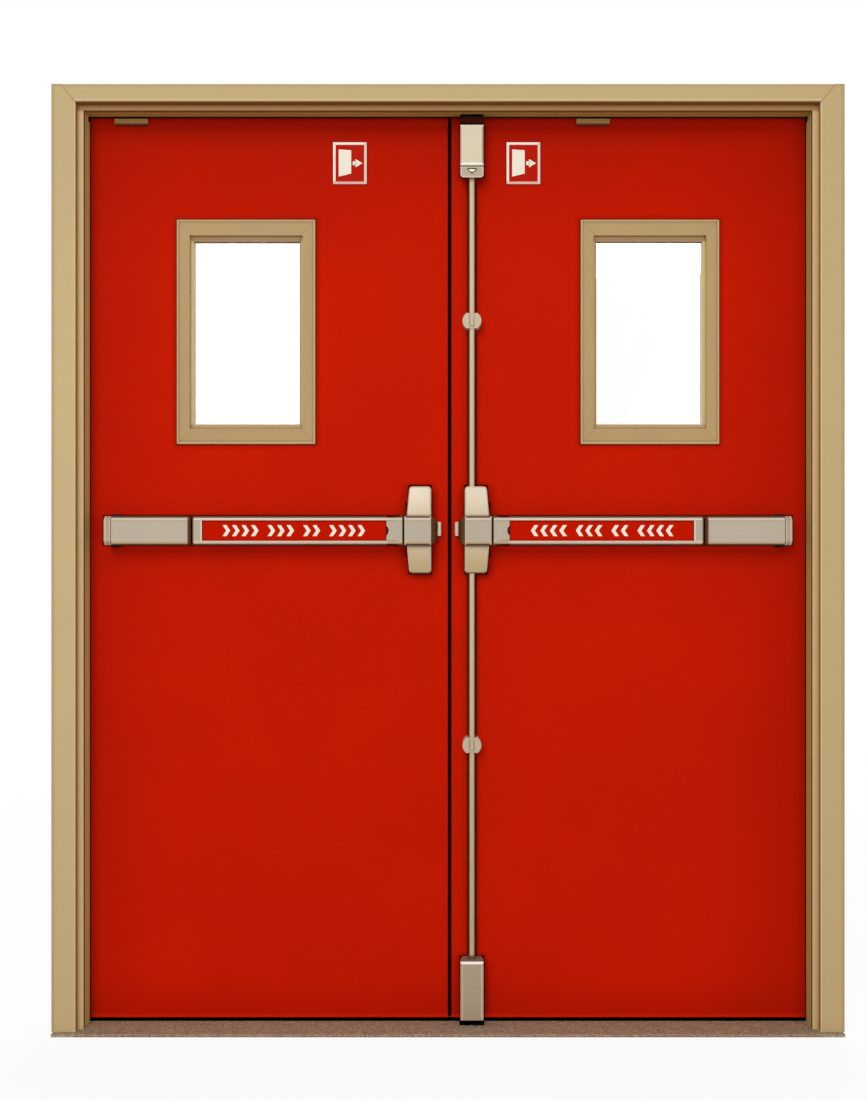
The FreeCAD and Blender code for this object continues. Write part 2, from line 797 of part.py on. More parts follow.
def make_end_cap(side):
    """The cap that closes the bar at the hinge side."""
    body = new_body(f"{side}_bar_end_cap")
    section = bar_section(BAR_FRONT, LEAF_FRONT, "bar_tall / 2")
    extrude_out(body, side, f"{CASE_END} + cap_seam", CAP_END, section)
    end = on_side(side, CAP_END)
    dress_edges(body, "Fillet", "cap_round", lambda middle, way: near(middle.x, end) and not near(
        middle.y, LEAF_FRONT))
    return body


def make_rail(side):
    """The channel on the leaf under the pad, with a slide block at each end that the pad runs over."""
    body = new_body(f"{side}_bar_rail")
    front, back = f"({LEAF_FRONT} - rail_depth)", LEAF_FRONT
    low, high = "(bar_height - rail_tall / 2)", "(bar_height + rail_tall / 2)"
    floor = f"{back} - rail_wall"
    low_wall, high_wall = f"{low} + rail_wall", f"{high} - rail_wall"
    extrude_out(body, side, STRIP_START, CASE_START, [
        (back, low), (front, low), (front, low_wall), (floor, low_wall),
        (floor, high_wall), (front, high_wall), (front, high), (back, high)])
    reach = "(bar_tall / 2 - pad_wall - slide_clearance)"
    block = rectangle("slide_front", back, f"bar_height - {reach}", f"bar_height + {reach}")
    extrude_out(body, side, STRIP_START, f"{STRIP_START} + slide_length", block)
    extrude_out(body, side, f"{PAD_END} - slide_length", PAD_END, block)
    return body


def make_pad(side):
    """The push pad: a folded shell with a groove for the coloured strip and a lip at its outer end."""
    body = new_body(f"{side}_push_pad")
    back = f"({BAR_FRONT} + pad_depth)"
    outer = bar_section(BAR_FRONT, back, "bar_tall / 2")
    inner = bar_section(f"({BAR_FRONT} + pad_wall)", back, "(bar_tall / 2 - pad_wall)")
    extrude_out(body, side, STRIP_START, PAD_END, outer + inner[::-1])
    drawn = new_sketch(body, "YZ_Plane", on_side(side, STRIP_START))
    low, high = "(bar_height - strip_tall / 2)", "(bar_height + strip_tall / 2)"
    draw_rectangle(drawn, f"{BAR_FRONT} - strip_thickness", f"{BAR_FRONT} + strip_thickness", low, high)
    cut(body, drawn, f"{STRIP_END} - {STRIP_START}", reverse=side == "right")
    lip_front, lip_back = f"({BAR_FRONT} - lip_rise)", f"({BAR_FRONT} + strip_thickness)"
    extrude_out(body, side, STRIP_END, f"{STRIP_END} + lip_width", rectangle(lip_front, lip_back, low, high))
    dress_edges(body, "Chamfer", "lip_edge", lambda middle, way: near(middle.y, lip_front))
    return body


def make_strip(side):
    """The coloured strip in the pad's groove."""
    body = new_body(f"{side}_pad_strip")
    low, high = "(bar_height - strip_tall / 2)", "(bar_height + strip_tall / 2)"
    front, back = f"{BAR_FRONT} + strip_recess", f"{BAR_FRONT} + strip_thickness"
    extrude_out(body, side, STRIP_START, STRIP_END, rectangle(front, back, low, high))
    return body


def make_flare(side):
    """The pad's inner end: a flat core with a half-round notch, and a skirt that flares above and below."""
    body = new_body(f"{side}_pad_flare")
    front, back = f"({LEAF_FRONT} - flare_projection)", f"({BAR_FRONT} + pad_depth)"
    low, high = "(bar_height - flare_core / 2)", "(bar_height + flare_core / 2)"
    extrude_out(body, side, FLARE_START, STRIP_START, rectangle(front, back, low, high))
    drawn = new_sketch(body, "XZ_Plane", other_way(front))
    notch_place = on_side(side, f"{STRIP_START} + notch_radius - notch_bite")
    draw_circle(drawn, notch_place, "bar_height", "notch_radius")
    cut(body, drawn, "notch_depth")
    stations = ((STRIP_START, "flare_small"), (f"({STRIP_START} - flare_turn)", "flare_middle"),
                (FLARE_START, "flare_large"))
    for way, root in (("-", low), ("+", high)):
        sections = []
        for place, tall in stations:
            drawn = new_sketch(body, "YZ_Plane", on_side(side, place))
            end = f"(bar_height {way} {tall} / 2)"
            bevel = f"({end} {'+' if way == '-' else '-'} bevel_height)"
            draw_outline(drawn, [(back, root), (back, end), (f"{front} + bevel_depth", end), (front, bevel),
                                 (front, root)])
            sections.append(drawn)
        loft = body.newObject("PartDesign::AdditiveLoft", "skirt")
        loft.Profile = sections[0]
        loft.Sections = sections[1:]
        loft.Ruled = True
        document.recompute()
    return body


def make_block(side):
    """The block cover in front of the centre case, bevelled as the bar is."""
    body = new_body(f"{side}_block_cover")
    front = f"({LEAF_FRONT} - block_projection)"
    back = f"({front} + block_depth)"
    extrude_out(body, side, "device_start", BLOCK_END, bar_section(front, back, "bar_tall / 2"))
    dress_edges(body, "Chamfer", "block_edge", lambda middle, way: near(middle.y, front) and along(way, "z"))
    return body


def make_hump(side):
    """The tall centre case: bowed front, one tapered side and rounded ends."""
    body = new_body(f"{side}_centre_case")
    front = f"({LEAF_FRONT} - block_projection + block_depth)"
    end_front = f"({LEAF_FRONT} - hump_end)"
    bow = "(block_projection - block_depth - hump_end)"
    low, high = "(bar_height - bar_tall / 2)", "(bar_height + bar_tall / 2)"

    def bow_radius(reach):
        """Radius of the bow that leaves the flat middle smoothly and ends at this reach from it."""
        return f"-1 * (({reach}) ^ 2 + {bow} ^ 2) / (2 * {bow})"

    extrude_out(body, side, "device_start", "device_start + hump_width", [
        (LEAF_FRONT, HUMP_TOP), (LEAF_FRONT, HUMP_BOTTOM), (end_front, HUMP_BOTTOM),
        (front, low, bow_radius(f"{low} - {HUMP_BOTTOM}")), (front, high),
        (end_front, HUMP_TOP, bow_radius(f"{HUMP_TOP} - {high}"))])
    outer = "(device_start + hump_width)"
    for end, level in ((HUMP_TOP, high), (HUMP_BOTTOM, low)):
        drawn = new_sketch(body, "XZ_Plane")
        draw_outline(drawn, [(on_side(side, f"{outer} - hump_taper"), end), (on_side(side, outer), level),
                             (on_side(side, f"{outer} + hump_taper"), level),
                             (on_side(side, f"{outer} + hump_taper"), end)])
        cut(body, drawn)
    ends = (HUMP_TOP, HUMP_BOTTOM)
    dress_edges(body, "Fillet", "hump_round",
                lambda middle, way: along(way, "y") and any(near(middle.z, end) for end in ends))
    dress_front_rim(body, "Chamfer", "hump_edge")
    if side == "right":
        drawn = new_sketch(body, "XY_Plane", HUMP_TOP)
        draw_circle(drawn, "rod_place", ROD_DEPTH, "rod_radius + rod_clearance")
        cut(body, drawn, "rod_cover + rod_travel + bore_margin")
        drawn = new_sketch(body, "XY_Plane", HUMP_BOTTOM)
        draw_circle(drawn, "rod_place", ROD_DEPTH, "rod_radius + rod_clearance")
        cut(body, drawn, "rod_cover + rod_travel + bore_margin", reverse=True)
    return body


def make_flange(side):
    """The dark latch guide beside the centre case, sloped at its free end, with the bolt's slot."""
    body = document.addObject("PartDesign::Body", f"{side}_flange")
    drawn = new_sketch(body, "XZ_Plane", other_way(LEAF_FRONT))
    inner = "(device_start - flange_length)"
    low, high = "(bar_height - flange_tall / 2)", "(bar_height + flange_tall / 2)"
    corners = [
        ("device_start", low), ("device_start", high), ("device_start - flange_flat", high),
        (inner, f"{high} - flange_slope"), (inner, f"{low} + flange_slope"),
        ("device_start - flange_flat", low)]
    draw_outline(drawn, [(on_side(side, x), z) for x, z in corners])
    pad(body, drawn, "flange_depth")
    drawn = new_sketch(body, "YZ_Plane")
    depth, levels = bolt_section("bolt_clearance")
    draw_rectangle(drawn, *depth, *levels)
    cut(body, drawn)
    return body


def bolt_section(clearance):
    """Depth and height limits of a latch bolt's section, grown by a clearance."""
    back = f"({LEAF_FRONT} - bolt_standoff)"
    depth = (f"{back} - bolt_thick - {clearance}", f"{back} + {clearance}")
    middle = "bar_height + bolt_rise"
    levels = (f"{middle} - bolt_tall / 2 - {clearance}", f"{middle} + bolt_tall / 2 + {clearance}")
    return depth, levels


def make_bolt(side):
    """The latch bolt that shows beyond its guide, with rounded corners at its tip."""
    body = new_body(f"{side}_latch_bolt")
    tip = "(device_start - flange_length - bolt_reach)"
    (front, back), (low, high) = bolt_section("0")
    extrude_out(body, side, tip, f"{tip} + bolt_length", rectangle(front, back, low, high))
    dress_edges(body, "Fillet", "bolt_round",
                lambda middle, way: along(way, "y") and near(abs(middle.x), tip))
    return body


def make_ear(side, way):
    """The sloped end of the end bracket that shows above or below the case."""
    body = document.addObject("PartDesign::Body", f"{side}_ear")
    drawn = new_sketch(body, "XZ_Plane", other_way(LEAF_FRONT))
    root, end = f"bar_height {way} bar_tall / 2", f"bar_height {way} end_bracket_tall / 2"
    outer = f"({CASE_END} + end_bracket_shift)"
    inner = f"({outer} - end_bracket_length)"
    corners = [(inner, root), (f"{inner} + end_bracket_slope", end), (f"{outer} - end_bracket_slope", end),
               (outer, root)]
    draw_outline(drawn, [(on_side(side, x), z) for x, z in corners])
    pad(body, drawn, "end_bracket_depth")
    return body


def make_bar_brackets(side):
    """The dark brackets of one bar: the end bracket behind the case and the latch guide."""
    return together(f"{side}_bar_brackets", [make_ear(side, "-"), make_ear(side, "+"), make_flange(side)])


# Rod latches

def bore_case(body, low, radius):
    """Bore a latch case from end to end for its rod."""
    drawn = new_sketch(body, "XY_Plane", low)
    draw_circle(drawn, "rod_place", ROD_DEPTH, radius)
    cut(body, drawn)


def shield(inset):
    """Corners of the five-sided fitting on the upper latch, drawn in by an inset."""
    half, top = f"(shield_width / 2 - {inset})", f"({TOP_COVER_BOTTOM} - shield_drop - {inset})"
    shoulder = f"({TOP_COVER_BOTTOM} - shield_drop - shield_shoulder)"
    tip = f"({TOP_COVER_BOTTOM} - shield_drop - shield_tall + {inset} * sqrt(2))"
    return [(f"rod_place - {half}", top), (f"rod_place - {half}", shoulder), ("rod_place", tip),
            (f"rod_place + {half}", shoulder), (f"rod_place + {half}", top)]


def make_top_cover():
    """The upper latch's cover, bevelled all round its front."""
    body = new_body("top_latch_cover")
    front = f"({LEAF_FRONT} - latch_case_projection)"
    low, high = TOP_COVER_BOTTOM, TOP_CASE_TOP
    extrude_out(body, "right", "rod_place - latch_case_width / 2", "rod_place + latch_case_width / 2",
                rectangle(front, LEAF_FRONT, low, high))
    dress_front_rim(body, "Chamfer", "latch_case_edge")
    bore_case(body, low, "rod_radius + rod_clearance")
    return body


def make_top_base():
    """The upper latch's base: rounded lower corners, a sloped underside and a grooved fitting."""
    body = new_body("top_latch_base")
    front = f"({LEAF_FRONT} - latch_base_projection)"
    low, high = TOP_CASE_BOTTOM, TOP_COVER_BOTTOM
    extrude_out(body, "right", "rod_place - latch_case_width / 2", "rod_place + latch_case_width / 2", [
        (front, low), (LEAF_FRONT, f"{low} + base_slope"), (LEAF_FRONT, high), (front, high)])
    dress_edges(body, "Fillet", "latch_corner",
                lambda middle, way: near(middle.z, f"{low} + base_slope / 2") and abs(way.x) < FORWARD)
    dress_edges(body, "Chamfer", "base_edge",
                lambda middle, way: near(middle.y, front) and near(middle.z, high))
    drawn = new_sketch(body, "XZ_Plane", other_way(front))
    draw_outline(drawn, shield("0"))
    draw_outline(drawn, shield("shield_groove"))
    cut(body, drawn, "shield_depth")
    bore_case(body, low, "rod_radius + rod_clearance")
    return body


def make_bottom_case():
    """The lower latch case: bevelled all round its front and narrower where it meets the leaf."""
    body = new_body("bottom_latch_case")
    drawn = new_sketch(body, "XY_Plane", BOTTOM_CASE_BOTTOM)
    front, shoulder = f"({LEAF_FRONT} - latch_case_projection)", f"({LEAF_FRONT} - bottom_case_shoulder)"
    wide, narrow = "latch_case_width / 2", "(latch_case_width / 2 - bottom_case_taper)"
    draw_outline(drawn, [
        (f"rod_place - {wide}", front), (f"rod_place + {wide}", front), (f"rod_place + {wide}", shoulder),
        (f"rod_place + {narrow}", LEAF_FRONT), (f"rod_place - {narrow}", LEAF_FRONT),
        (f"rod_place - {wide}", shoulder)])
    pad(body, drawn, "bottom_case_tall")
    dress_front_rim(body, "Chamfer", "latch_case_edge")
    bore_case(body, BOTTOM_CASE_BOTTOM, "rod_radius + rod_clearance")
    return body


def make_rods():
    """The two rods, each with the bolt at its far end."""
    upper_root, upper_neck = f"{HUMP_TOP} - rod_cover", f"({TOP_COVER_BOTTOM} + top_cover_tall / 2)"
    upper_tip = f"{TOP_CASE_TOP} + tip_show"
    lower_root, lower_neck = f"{HUMP_BOTTOM} + rod_cover", f"({BOTTOM_CASE_BOTTOM} + bottom_case_tall / 2)"
    lower_tip = f"{BOTTOM_CASE_BOTTOM} - tip_show"
    spans = {"upper_rod": ((upper_root, upper_neck), (upper_neck, upper_tip)),
             "lower_rod": ((lower_neck, lower_root), (lower_tip, lower_neck))}
    return [joined(name, [
        upright_cylinder(f"{name}_bar", "rod_place", ROD_DEPTH, bar, "rod_radius"),
        upright_cylinder(f"{name}_tip", "rod_place", ROD_DEPTH, tip, "tip_radius"),
    ]) for name, (bar, tip) in spans.items()]


def make_guides():
    """Two round rod guides, flattened above and below, slotted in front round an upright bar."""
    guides = []
    for level in (GUIDE_LOW, GUIDE_HIGH):
        body = document.addObject("PartDesign::Body", "guide")
        drawn = new_sketch(body, "XZ_Plane", other_way(LEAF_FRONT))
        draw_circle(drawn, "rod_place", level, "guide_radius")
        pad(body, drawn, "guide_projection")
        low, high = f"({level} - guide_tall / 2)", f"({level} + guide_tall / 2)"
        for edge, beyond in ((low, f"{low} - guide_radius"), (high, f"{high} + guide_radius")):
            drawn = new_sketch(body, "XZ_Plane")
            ends = sorted((edge, beyond), key=size)
            draw_rectangle(drawn, "rod_place - guide_radius * 2", "rod_place + guide_radius * 2", *ends)
            cut(body, drawn)
        drawn = new_sketch(body, "XZ_Plane", other_way(f"{LEAF_FRONT} - guide_projection"))
        draw_rectangle(drawn, "rod_place - guide_slot / 2", "rod_place + guide_slot / 2",
                       f"{low} - guide_slot_depth", f"{high} + guide_slot_depth")
        draw_rectangle(drawn, "rod_place - guide_bar / 2", "rod_place + guide_bar / 2",
                       f"{level} - guide_bar_tall / 2", f"{level} + guide_bar_tall / 2")
        cut(body, drawn, "guide_slot_depth")
        bore_case(body, level, "rod_radius + rod_clearance")
        guides.append(body)
    return together("rod_guides", guides)


def make_sign(side):
    """The small plate on a leaf."""
    middle, top = on_side(side, f"sign_{side}"), f"({LEAF_TOP} - sign_drop)"
    return box(f"{side}_sign_plate", (f"{middle} - sign_width / 2", f"{middle} + sign_width / 2"),
               (f"{LEAF_FRONT} - sign_thickness", LEAF_FRONT), (f"{top} - sign_height", top))


def build():
    """Make every piece of the door, in the order frame, leaves, bars, rods."""
    pieces = [make_threshold(), make_head(), make_frame_seal(), make_head_tabs(), make_top_strike()]
    for side in SIDES:
        pieces.append(make_jamb(side))
        pieces += make_hinges(side)
        pieces.append(make_leaf(side))
        pieces += make_vision(side)
        for make in (make_case, make_end_cap, make_rail, make_pad, make_strip, make_flare, make_block,
                     make_hump, make_bar_brackets, make_bolt, make_sign):
            pieces.append(make(side))
    pieces.append(make_meeting_seal())
    pieces += [make_top_cover(), make_top_base(), make_bottom_case()]
    pieces += make_rods()
    pieces.append(make_guides())
    return pieces


def check_and_write(pieces):
    """Stop on a failed feature or an unsound shape, then write one file a piece."""
    document.recompute()
    for item in document.Objects:
        if "Invalid" in item.State or "Error" in item.State:
            raise ValueError(f"{item.Label} didn't build: {item.State}")
    os.makedirs("parts", exist_ok=True)
    for piece in pieces:
        if piece.Shape.isNull() or not piece.Shape.isValid() or not piece.Shape.Solids:
            raise ValueError(f"{piece.Label} has no sound shape")
    for piece in pieces:
        piece.Shape.exportStep(os.path.join("parts", f"{piece.Label}.step"))
    print(len(pieces), "pieces written")


check_and_write(build())
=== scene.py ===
"""The looks of a steel utility door: two red leaves with push bars in a tan steel frame.

Every length is in metres and lies in the same frame as the CAD model: X runs across the door, Y points
into the doorway behind the frame's face, and Z points up from the floor.
"""
import logging
import math
from dataclasses import dataclass, field
from enum import Enum
from typing import Callable, Iterable

import bpy
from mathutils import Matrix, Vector


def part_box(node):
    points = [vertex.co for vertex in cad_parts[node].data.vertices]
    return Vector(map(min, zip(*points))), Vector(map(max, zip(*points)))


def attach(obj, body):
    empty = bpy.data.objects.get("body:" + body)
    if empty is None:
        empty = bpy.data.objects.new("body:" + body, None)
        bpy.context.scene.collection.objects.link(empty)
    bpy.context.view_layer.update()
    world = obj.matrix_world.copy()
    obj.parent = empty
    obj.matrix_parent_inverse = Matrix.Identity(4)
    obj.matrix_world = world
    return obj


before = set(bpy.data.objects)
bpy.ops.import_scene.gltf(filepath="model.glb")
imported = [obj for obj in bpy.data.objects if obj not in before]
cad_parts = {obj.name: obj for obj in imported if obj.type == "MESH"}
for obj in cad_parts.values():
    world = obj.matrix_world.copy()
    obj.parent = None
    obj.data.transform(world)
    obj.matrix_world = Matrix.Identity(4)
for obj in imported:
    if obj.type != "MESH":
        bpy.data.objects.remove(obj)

Colour = tuple[float, float, float, float]
Point = tuple[float, float, float]
Flat = tuple[float, float]

MM = 0.001
IMAGE_WIDTH = 867
IMAGE_HEIGHT = 1100

log = logging.getLogger("utility_door")


def srgb(red: int, green: int, blue: int) -> Colour:
    """Turn a display colour into the linear one that a shader takes.

    Args:
        red: Red from 0 to 255.
        green: Green from 0 to 255.
        blue: Blue from 0 to 255.

    Returns:
        The linear colour with full opacity.
    """
    def straighten(level: int) -> float:
        """Undo the display curve of one channel."""
        share = level / 255
        return share / 12.92 if share <= 0.04045 else ((share + 0.055) / 1.055) ** 2.4

    return straighten(red), straighten(green), straighten(blue), 1.0


class Side(Enum):
    """The two halves of the door, seen from the push side."""

    LEFT = -1
    RIGHT = 1

    @property
    def word(self) -> str:
        """The side's name in node names."""
        return self.name.lower()

    def across(self, distance: float) -> float:
        """X at this distance from the middle of the door."""
        return self.value * distance


class Measure(Enum):
    """What a change of colour runs along."""

    ACROSS = "across"
    DEPTH = "depth"
    HEIGHT = "height"
    SPREAD = "distance from the middle"
    FACING = "share that faces the front"
    UPWARD = "share that faces up"
    SIDEWAYS = "share that faces either side"


# Finishes

@dataclass(frozen=True)
class Gate:
    """A range of one measure in which a change of colour shows."""

    measure: Measure
    low: float
    high: float
    soft: float = 0.4 * MM


@dataclass(frozen=True)
class Fade:
    """A change to another colour along one measure."""

    measure: Measure
    start: float
    end: float
    colour: Colour
    strength: float = 1.0
    gates: tuple[Gate, ...] = ()


@dataclass(frozen=True)
class Patch:
    """A change to another colour round a rectangle on the front, used for painted shade or painted light close to a
    fitting.
    """

    middle: Flat
    half: Flat
    reach: float
    colour: Colour
    strength: float = 0.6
    mirrored: bool = False
    gates: tuple[Gate, ...] = ()


@dataclass(frozen=True)
class Crease:
    """A thin slanting line, as where two mitred pieces meet."""

    start: Flat
    slope: float
    width: float
    colour: Colour
    strength: float = 0.7
    gates: tuple[Gate, ...] = ()


class Palette:
    """Lays out the nodes of one material."""

    def __init__(self, name: str) -> None:
        """Start a material that holds only its shader."""
        self.material: bpy.types.Material = bpy.data.materials.new(name)
        self.material.use_nodes = True
        self.tree: bpy.types.NodeTree = self.material.node_tree
        self.shader: bpy.types.Node = self.tree.nodes["Principled BSDF"]
        coordinates = self.add("ShaderNodeTexCoord")
        self.place: bpy.types.NodeSocket = coordinates.outputs["Object"]
        self._normal: bpy.types.NodeSocket = coordinates.outputs["Normal"]
        self._measures: dict[Measure, bpy.types.NodeSocket] = {}

    def add(self, kind: str, **settings: object) -> bpy.types.Node:
        """Add a node.

        Args:
            kind: The node's type.
            **settings: Settings of the node itself, such as its operation.

        Returns:
            The new node.
        """
        made = self.tree.nodes.new(kind)
        for name, value in settings.items():
            setattr(made, name, value)
        return made

    def feed(self, socket: bpy.types.NodeSocket, value: object) -> None:
        """Link a socket to another one, or set its number.

        Args:
            socket: The input.
            value: The output to link, or a number, vector or colour.
        """
        if isinstance(value, bpy.types.NodeSocket):
            self.tree.links.new(value, socket)
        else:
            socket.default_value = value

    def math(self, operation: str, *values: object, clamp: bool = False) -> bpy.types.NodeSocket:
        """Work out one number from others.

        Args:
            operation: The Math node's operation.
            *values: Its one, two or three inputs.
            clamp: Whether the result stays between 0 and 1.

        Returns:
            The result.
        """
        made = self.add("ShaderNodeMath", operation=operation, use_clamp=clamp)
        for socket, value in zip(made.inputs, values):
            self.feed(socket, value)
        return made.outputs[0]

    def span(self, value: object, start: float, end: float, low: float = 0.0,
             high: float = 1.0) -> bpy.types.NodeSocket:
        """Turn a range of one number softly into another range.

        Args:
            value: The number that runs.
            start: Where the change starts.
            end: Where it ends.
            low: The result before the start.
            high: The result after the end.

        Returns:
            The result.
        """
        made = self.add("ShaderNodeMapRange", interpolation_type="SMOOTHSTEP")
        if start > end:
            start, end, low, high = end, start, high, low
        for socket, number in zip(made.inputs, (value, start, end, low, high)):
            self.feed(socket, number)
        return made.outputs[0]

    def blend(self, share: object, under: object, over: object, mode: str = "MIX") -> bpy.types.NodeSocket:
        """Lay one colour over another.

        Args:
            share: How much of the upper colour shows.
            under: The lower colour.
            over: The upper colour.
            mode: How the two are joined.

        Returns:
            The joined colour.
        """
        made = self.add("ShaderNodeMix", data_type="RGBA", blend_type=mode)
        for number, value in ((0, share), (6, under), (7, over)):
            self.feed(made.inputs[number], value)
        return made.outputs[2]

    def noise(self, scale: float, detail: float = 4.0, roughness: float = 0.55,
              stretch: Point = (1.0, 1.0, 1.0)) -> bpy.types.NodeSocket:
        """A cloudy pattern that is fixed to the piece.

        Args:
            scale: How many clouds lie in a metre.
            detail: How many finer layers it has.
            roughness: How strong the finer layers are.
            stretch: How much finer the pattern is along each axis.

        Returns:
            The pattern as a number from 0 to 1.
        """
        place = self.place
        if stretch != (1.0, 1.0, 1.0):
            mapping = self.add("ShaderNodeMapping")
            self.feed(mapping.inputs["Vector"], place)
            self.feed(mapping.inputs["Scale"], stretch)
            place = mapping.outputs[0]
        made = self.add("ShaderNodeTexNoise")
        self.feed(made.inputs["Vector"], place)
        self.feed(made.inputs["Scale"], scale)
        self.feed(made.inputs["Detail"], detail)
        self.feed(made.inputs["Roughness"], roughness)
        return made.outputs["Fac"]

    def measure(self, kind: Measure) -> bpy.types.NodeSocket:
        """The number that a change of colour runs along, laid out once.

        Args:
            kind: Which measure.

        Returns:
            Its output.
        """
        if not self._measures:
            place = self.add("ShaderNodeSeparateXYZ")
            self.feed(place.inputs[0], self.place)
            facing = self.add("ShaderNodeSeparateXYZ")
            self.feed(facing.inputs[0], self._normal)
            self._measures = {
                Measure.ACROSS: place.outputs["X"],
                Measure.DEPTH: place.outputs["Y"],
                Measure.HEIGHT: place.outputs["Z"],
                Measure.SPREAD: self.math("ABSOLUTE", place.outputs["X"]),
                Measure.FACING: self.math("MULTIPLY", facing.outputs["Y"], -1.0),
                Measure.UPWARD: facing.outputs["Z"],
                Measure.SIDEWAYS: self.math("ABSOLUTE", facing.outputs["X"]),
            }
        return self._measures[kind]

    def gated(self, share: bpy.types.NodeSocket, gates: Iterable[Gate]) -> bpy.types.NodeSocket:
        """Keep a share only inside ranges.

        Args:
            share: The share to keep.
            gates: The ranges.

        Returns:
            The share, which is 0 outside of any of the ranges.
        """
        for gate in gates:
            value = self.measure(gate.measure)
            middle, half = (gate.low + gate.high) / 2, (gate.high - gate.low) / 2
            away = self.math("ABSOLUTE", self.math("SUBTRACT", value, middle))
            inside = self.span(away, half - gate.soft / 2, half + gate.soft / 2, 1.0, 0.0)
            share = self.math("MULTIPLY", share, inside)
        return share

    def fade(self, colour: bpy.types.NodeSocket, change: Fade) -> bpy.types.NodeSocket:
        """Lay a fade over a colour.

        Args:
            colour: The colour so far.
            change: The fade.

        Returns:
            The new colour.
        """
        share = self.span(self.measure(change.measure), change.start, change.end, 0.0, change.strength)
        return self.blend(self.gated(share, change.gates), colour, change.colour)

    def patch(self, colour: bpy.types.NodeSocket, spot: Patch) -> bpy.types.NodeSocket:
        """Lay a patch over a colour.

        Args:
            colour: The colour so far.
            spot: The patch.

        Returns:
            The new colour.
        """
        across = self.measure(Measure.SPREAD if spot.mirrored else Measure.ACROSS)
        outside = []
        for value, middle, half in zip((across, self.measure(Measure.HEIGHT)), spot.middle, spot.half):
            away = self.math("ABSOLUTE", self.math("SUBTRACT", value, middle))
            outside.append(self.math("MAXIMUM", self.math("SUBTRACT", away, half), 0.0))
        squares = self.math("MULTIPLY_ADD", outside[0], outside[0], self.math("MULTIPLY", outside[1], outside[1]))
        distance = self.math("SQRT", squares)
        share = self.span(distance, 0.0, spot.reach, spot.strength, 0.0)
        return self.blend(self.gated(share, spot.gates), colour, spot.colour)

    def crease(self, colour: bpy.types.NodeSocket, line: Crease) -> bpy.types.NodeSocket:
        """Lay a slanting line over a colour, mirrored about the middle of the door.

        Args:
            colour: The colour so far.
            line: The line.

        Returns:
            The new colour.
        """
        across = self.math("SUBTRACT", self.measure(Measure.SPREAD), line.start[0])
        along = self.math("MULTIPLY_ADD", across, line.slope, line.start[1])
        away = self.math("ABSOLUTE", self.math("SUBTRACT", self.measure(Measure.HEIGHT), along))
        reach = line.width / 2 * math.hypot(1.0, line.slope)
        share = self.span(away, reach * 0.4, reach, line.strength, 0.0)
        return self.blend(self.gated(share, line.gates), colour, line.colour)

    def relief(self, height: bpy.types.NodeSocket, strength: float, depth: float) -> None:
        """Raise the surface by a pattern.

        Args:
            height: The pattern.
            strength: How strongly it shows, from 0 to 1.
            depth: How deep it goes, in metres.
        """
        bump = self.add("ShaderNodeBump")
        self.feed(bump.inputs["Strength"], strength)
        self.feed(bump.inputs["Distance"], depth)
        self.feed(bump.inputs["Height"], height)
        self.feed(self.shader.inputs["Normal"], bump.outputs[0])


@dataclass(frozen=True)
class Coat:
    """A painted, plated or bare surface with its own cloudiness, grain, relief and changes of colour, among them
    painted light and shade.
    """

    name: str
    colour: Colour
    changes: tuple[Fade | Patch | Crease, ...] = ()
    cloud: float = 0.06
    cloud_scale: float = 7.0
    grain: float = 0.05
    grain_scale: float = 420.0
    roughness: float = 0.45
    roughness_spread: float = 0.10
    relief: float = 0.12
    relief_scale: float = 650.0
    relief_depth: float = 0.15 * MM
    stretch: Point = (1.0, 1.0, 1.0)
    metallic: float = 0.0
    specular: float = 0.3
    sheen_coat: float = 0.0

    def build(self) -> bpy.types.Material:
        """Lay out the material's nodes.

        Returns:
            The material.
        """
        palette = Palette(self.name)
        clouds = palette.noise(self.cloud_scale, 5.0, 0.6, self.stretch)
        grain = palette.noise(self.grain_scale, 3.0, 0.6, self.stretch)
        light = tuple(min(1.0, level * (1 + self.cloud)) for level in self.colour[:3]) + (1.0,)
        dark = tuple(level * (1 - self.cloud) for level in self.colour[:3]) + (1.0,)
        colour = palette.blend(palette.span(clouds, 0.32, 0.68), dark, light)
        for change in self.changes:
            if isinstance(change, Fade):
                colour = palette.fade(colour, change)
            elif isinstance(change, Patch):
                colour = palette.patch(colour, change)
            else:
                colour = palette.crease(colour, change)
        speckle = palette.span(grain, 0.3, 0.7, 1 - self.grain, 1 + self.grain)
        shaded = palette.add("ShaderNodeVectorMath", operation="SCALE")
        palette.feed(shaded.inputs[0], colour)
        palette.feed(shaded.inputs["Scale"], speckle)
        shader = palette.shader
        palette.feed(shader.inputs["Base Color"], shaded.outputs[0])
        worn = palette.span(clouds, 0.25, 0.75, self.roughness - self.roughness_spread,
                            self.roughness + self.roughness_spread)
        palette.feed(shader.inputs["Roughness"], worn)
        palette.relief(palette.noise(self.relief_scale, 2.0, 0.5, self.stretch), self.relief, self.relief_depth)
        shader.inputs["Metallic"].default_value = self.metallic
        shader.inputs["Specular IOR Level"].default_value = self.specular
        shader.inputs["Coat Weight"].default_value = self.sheen_coat
        shader.inputs["Coat Roughness"].default_value = 0.22
        return palette.material


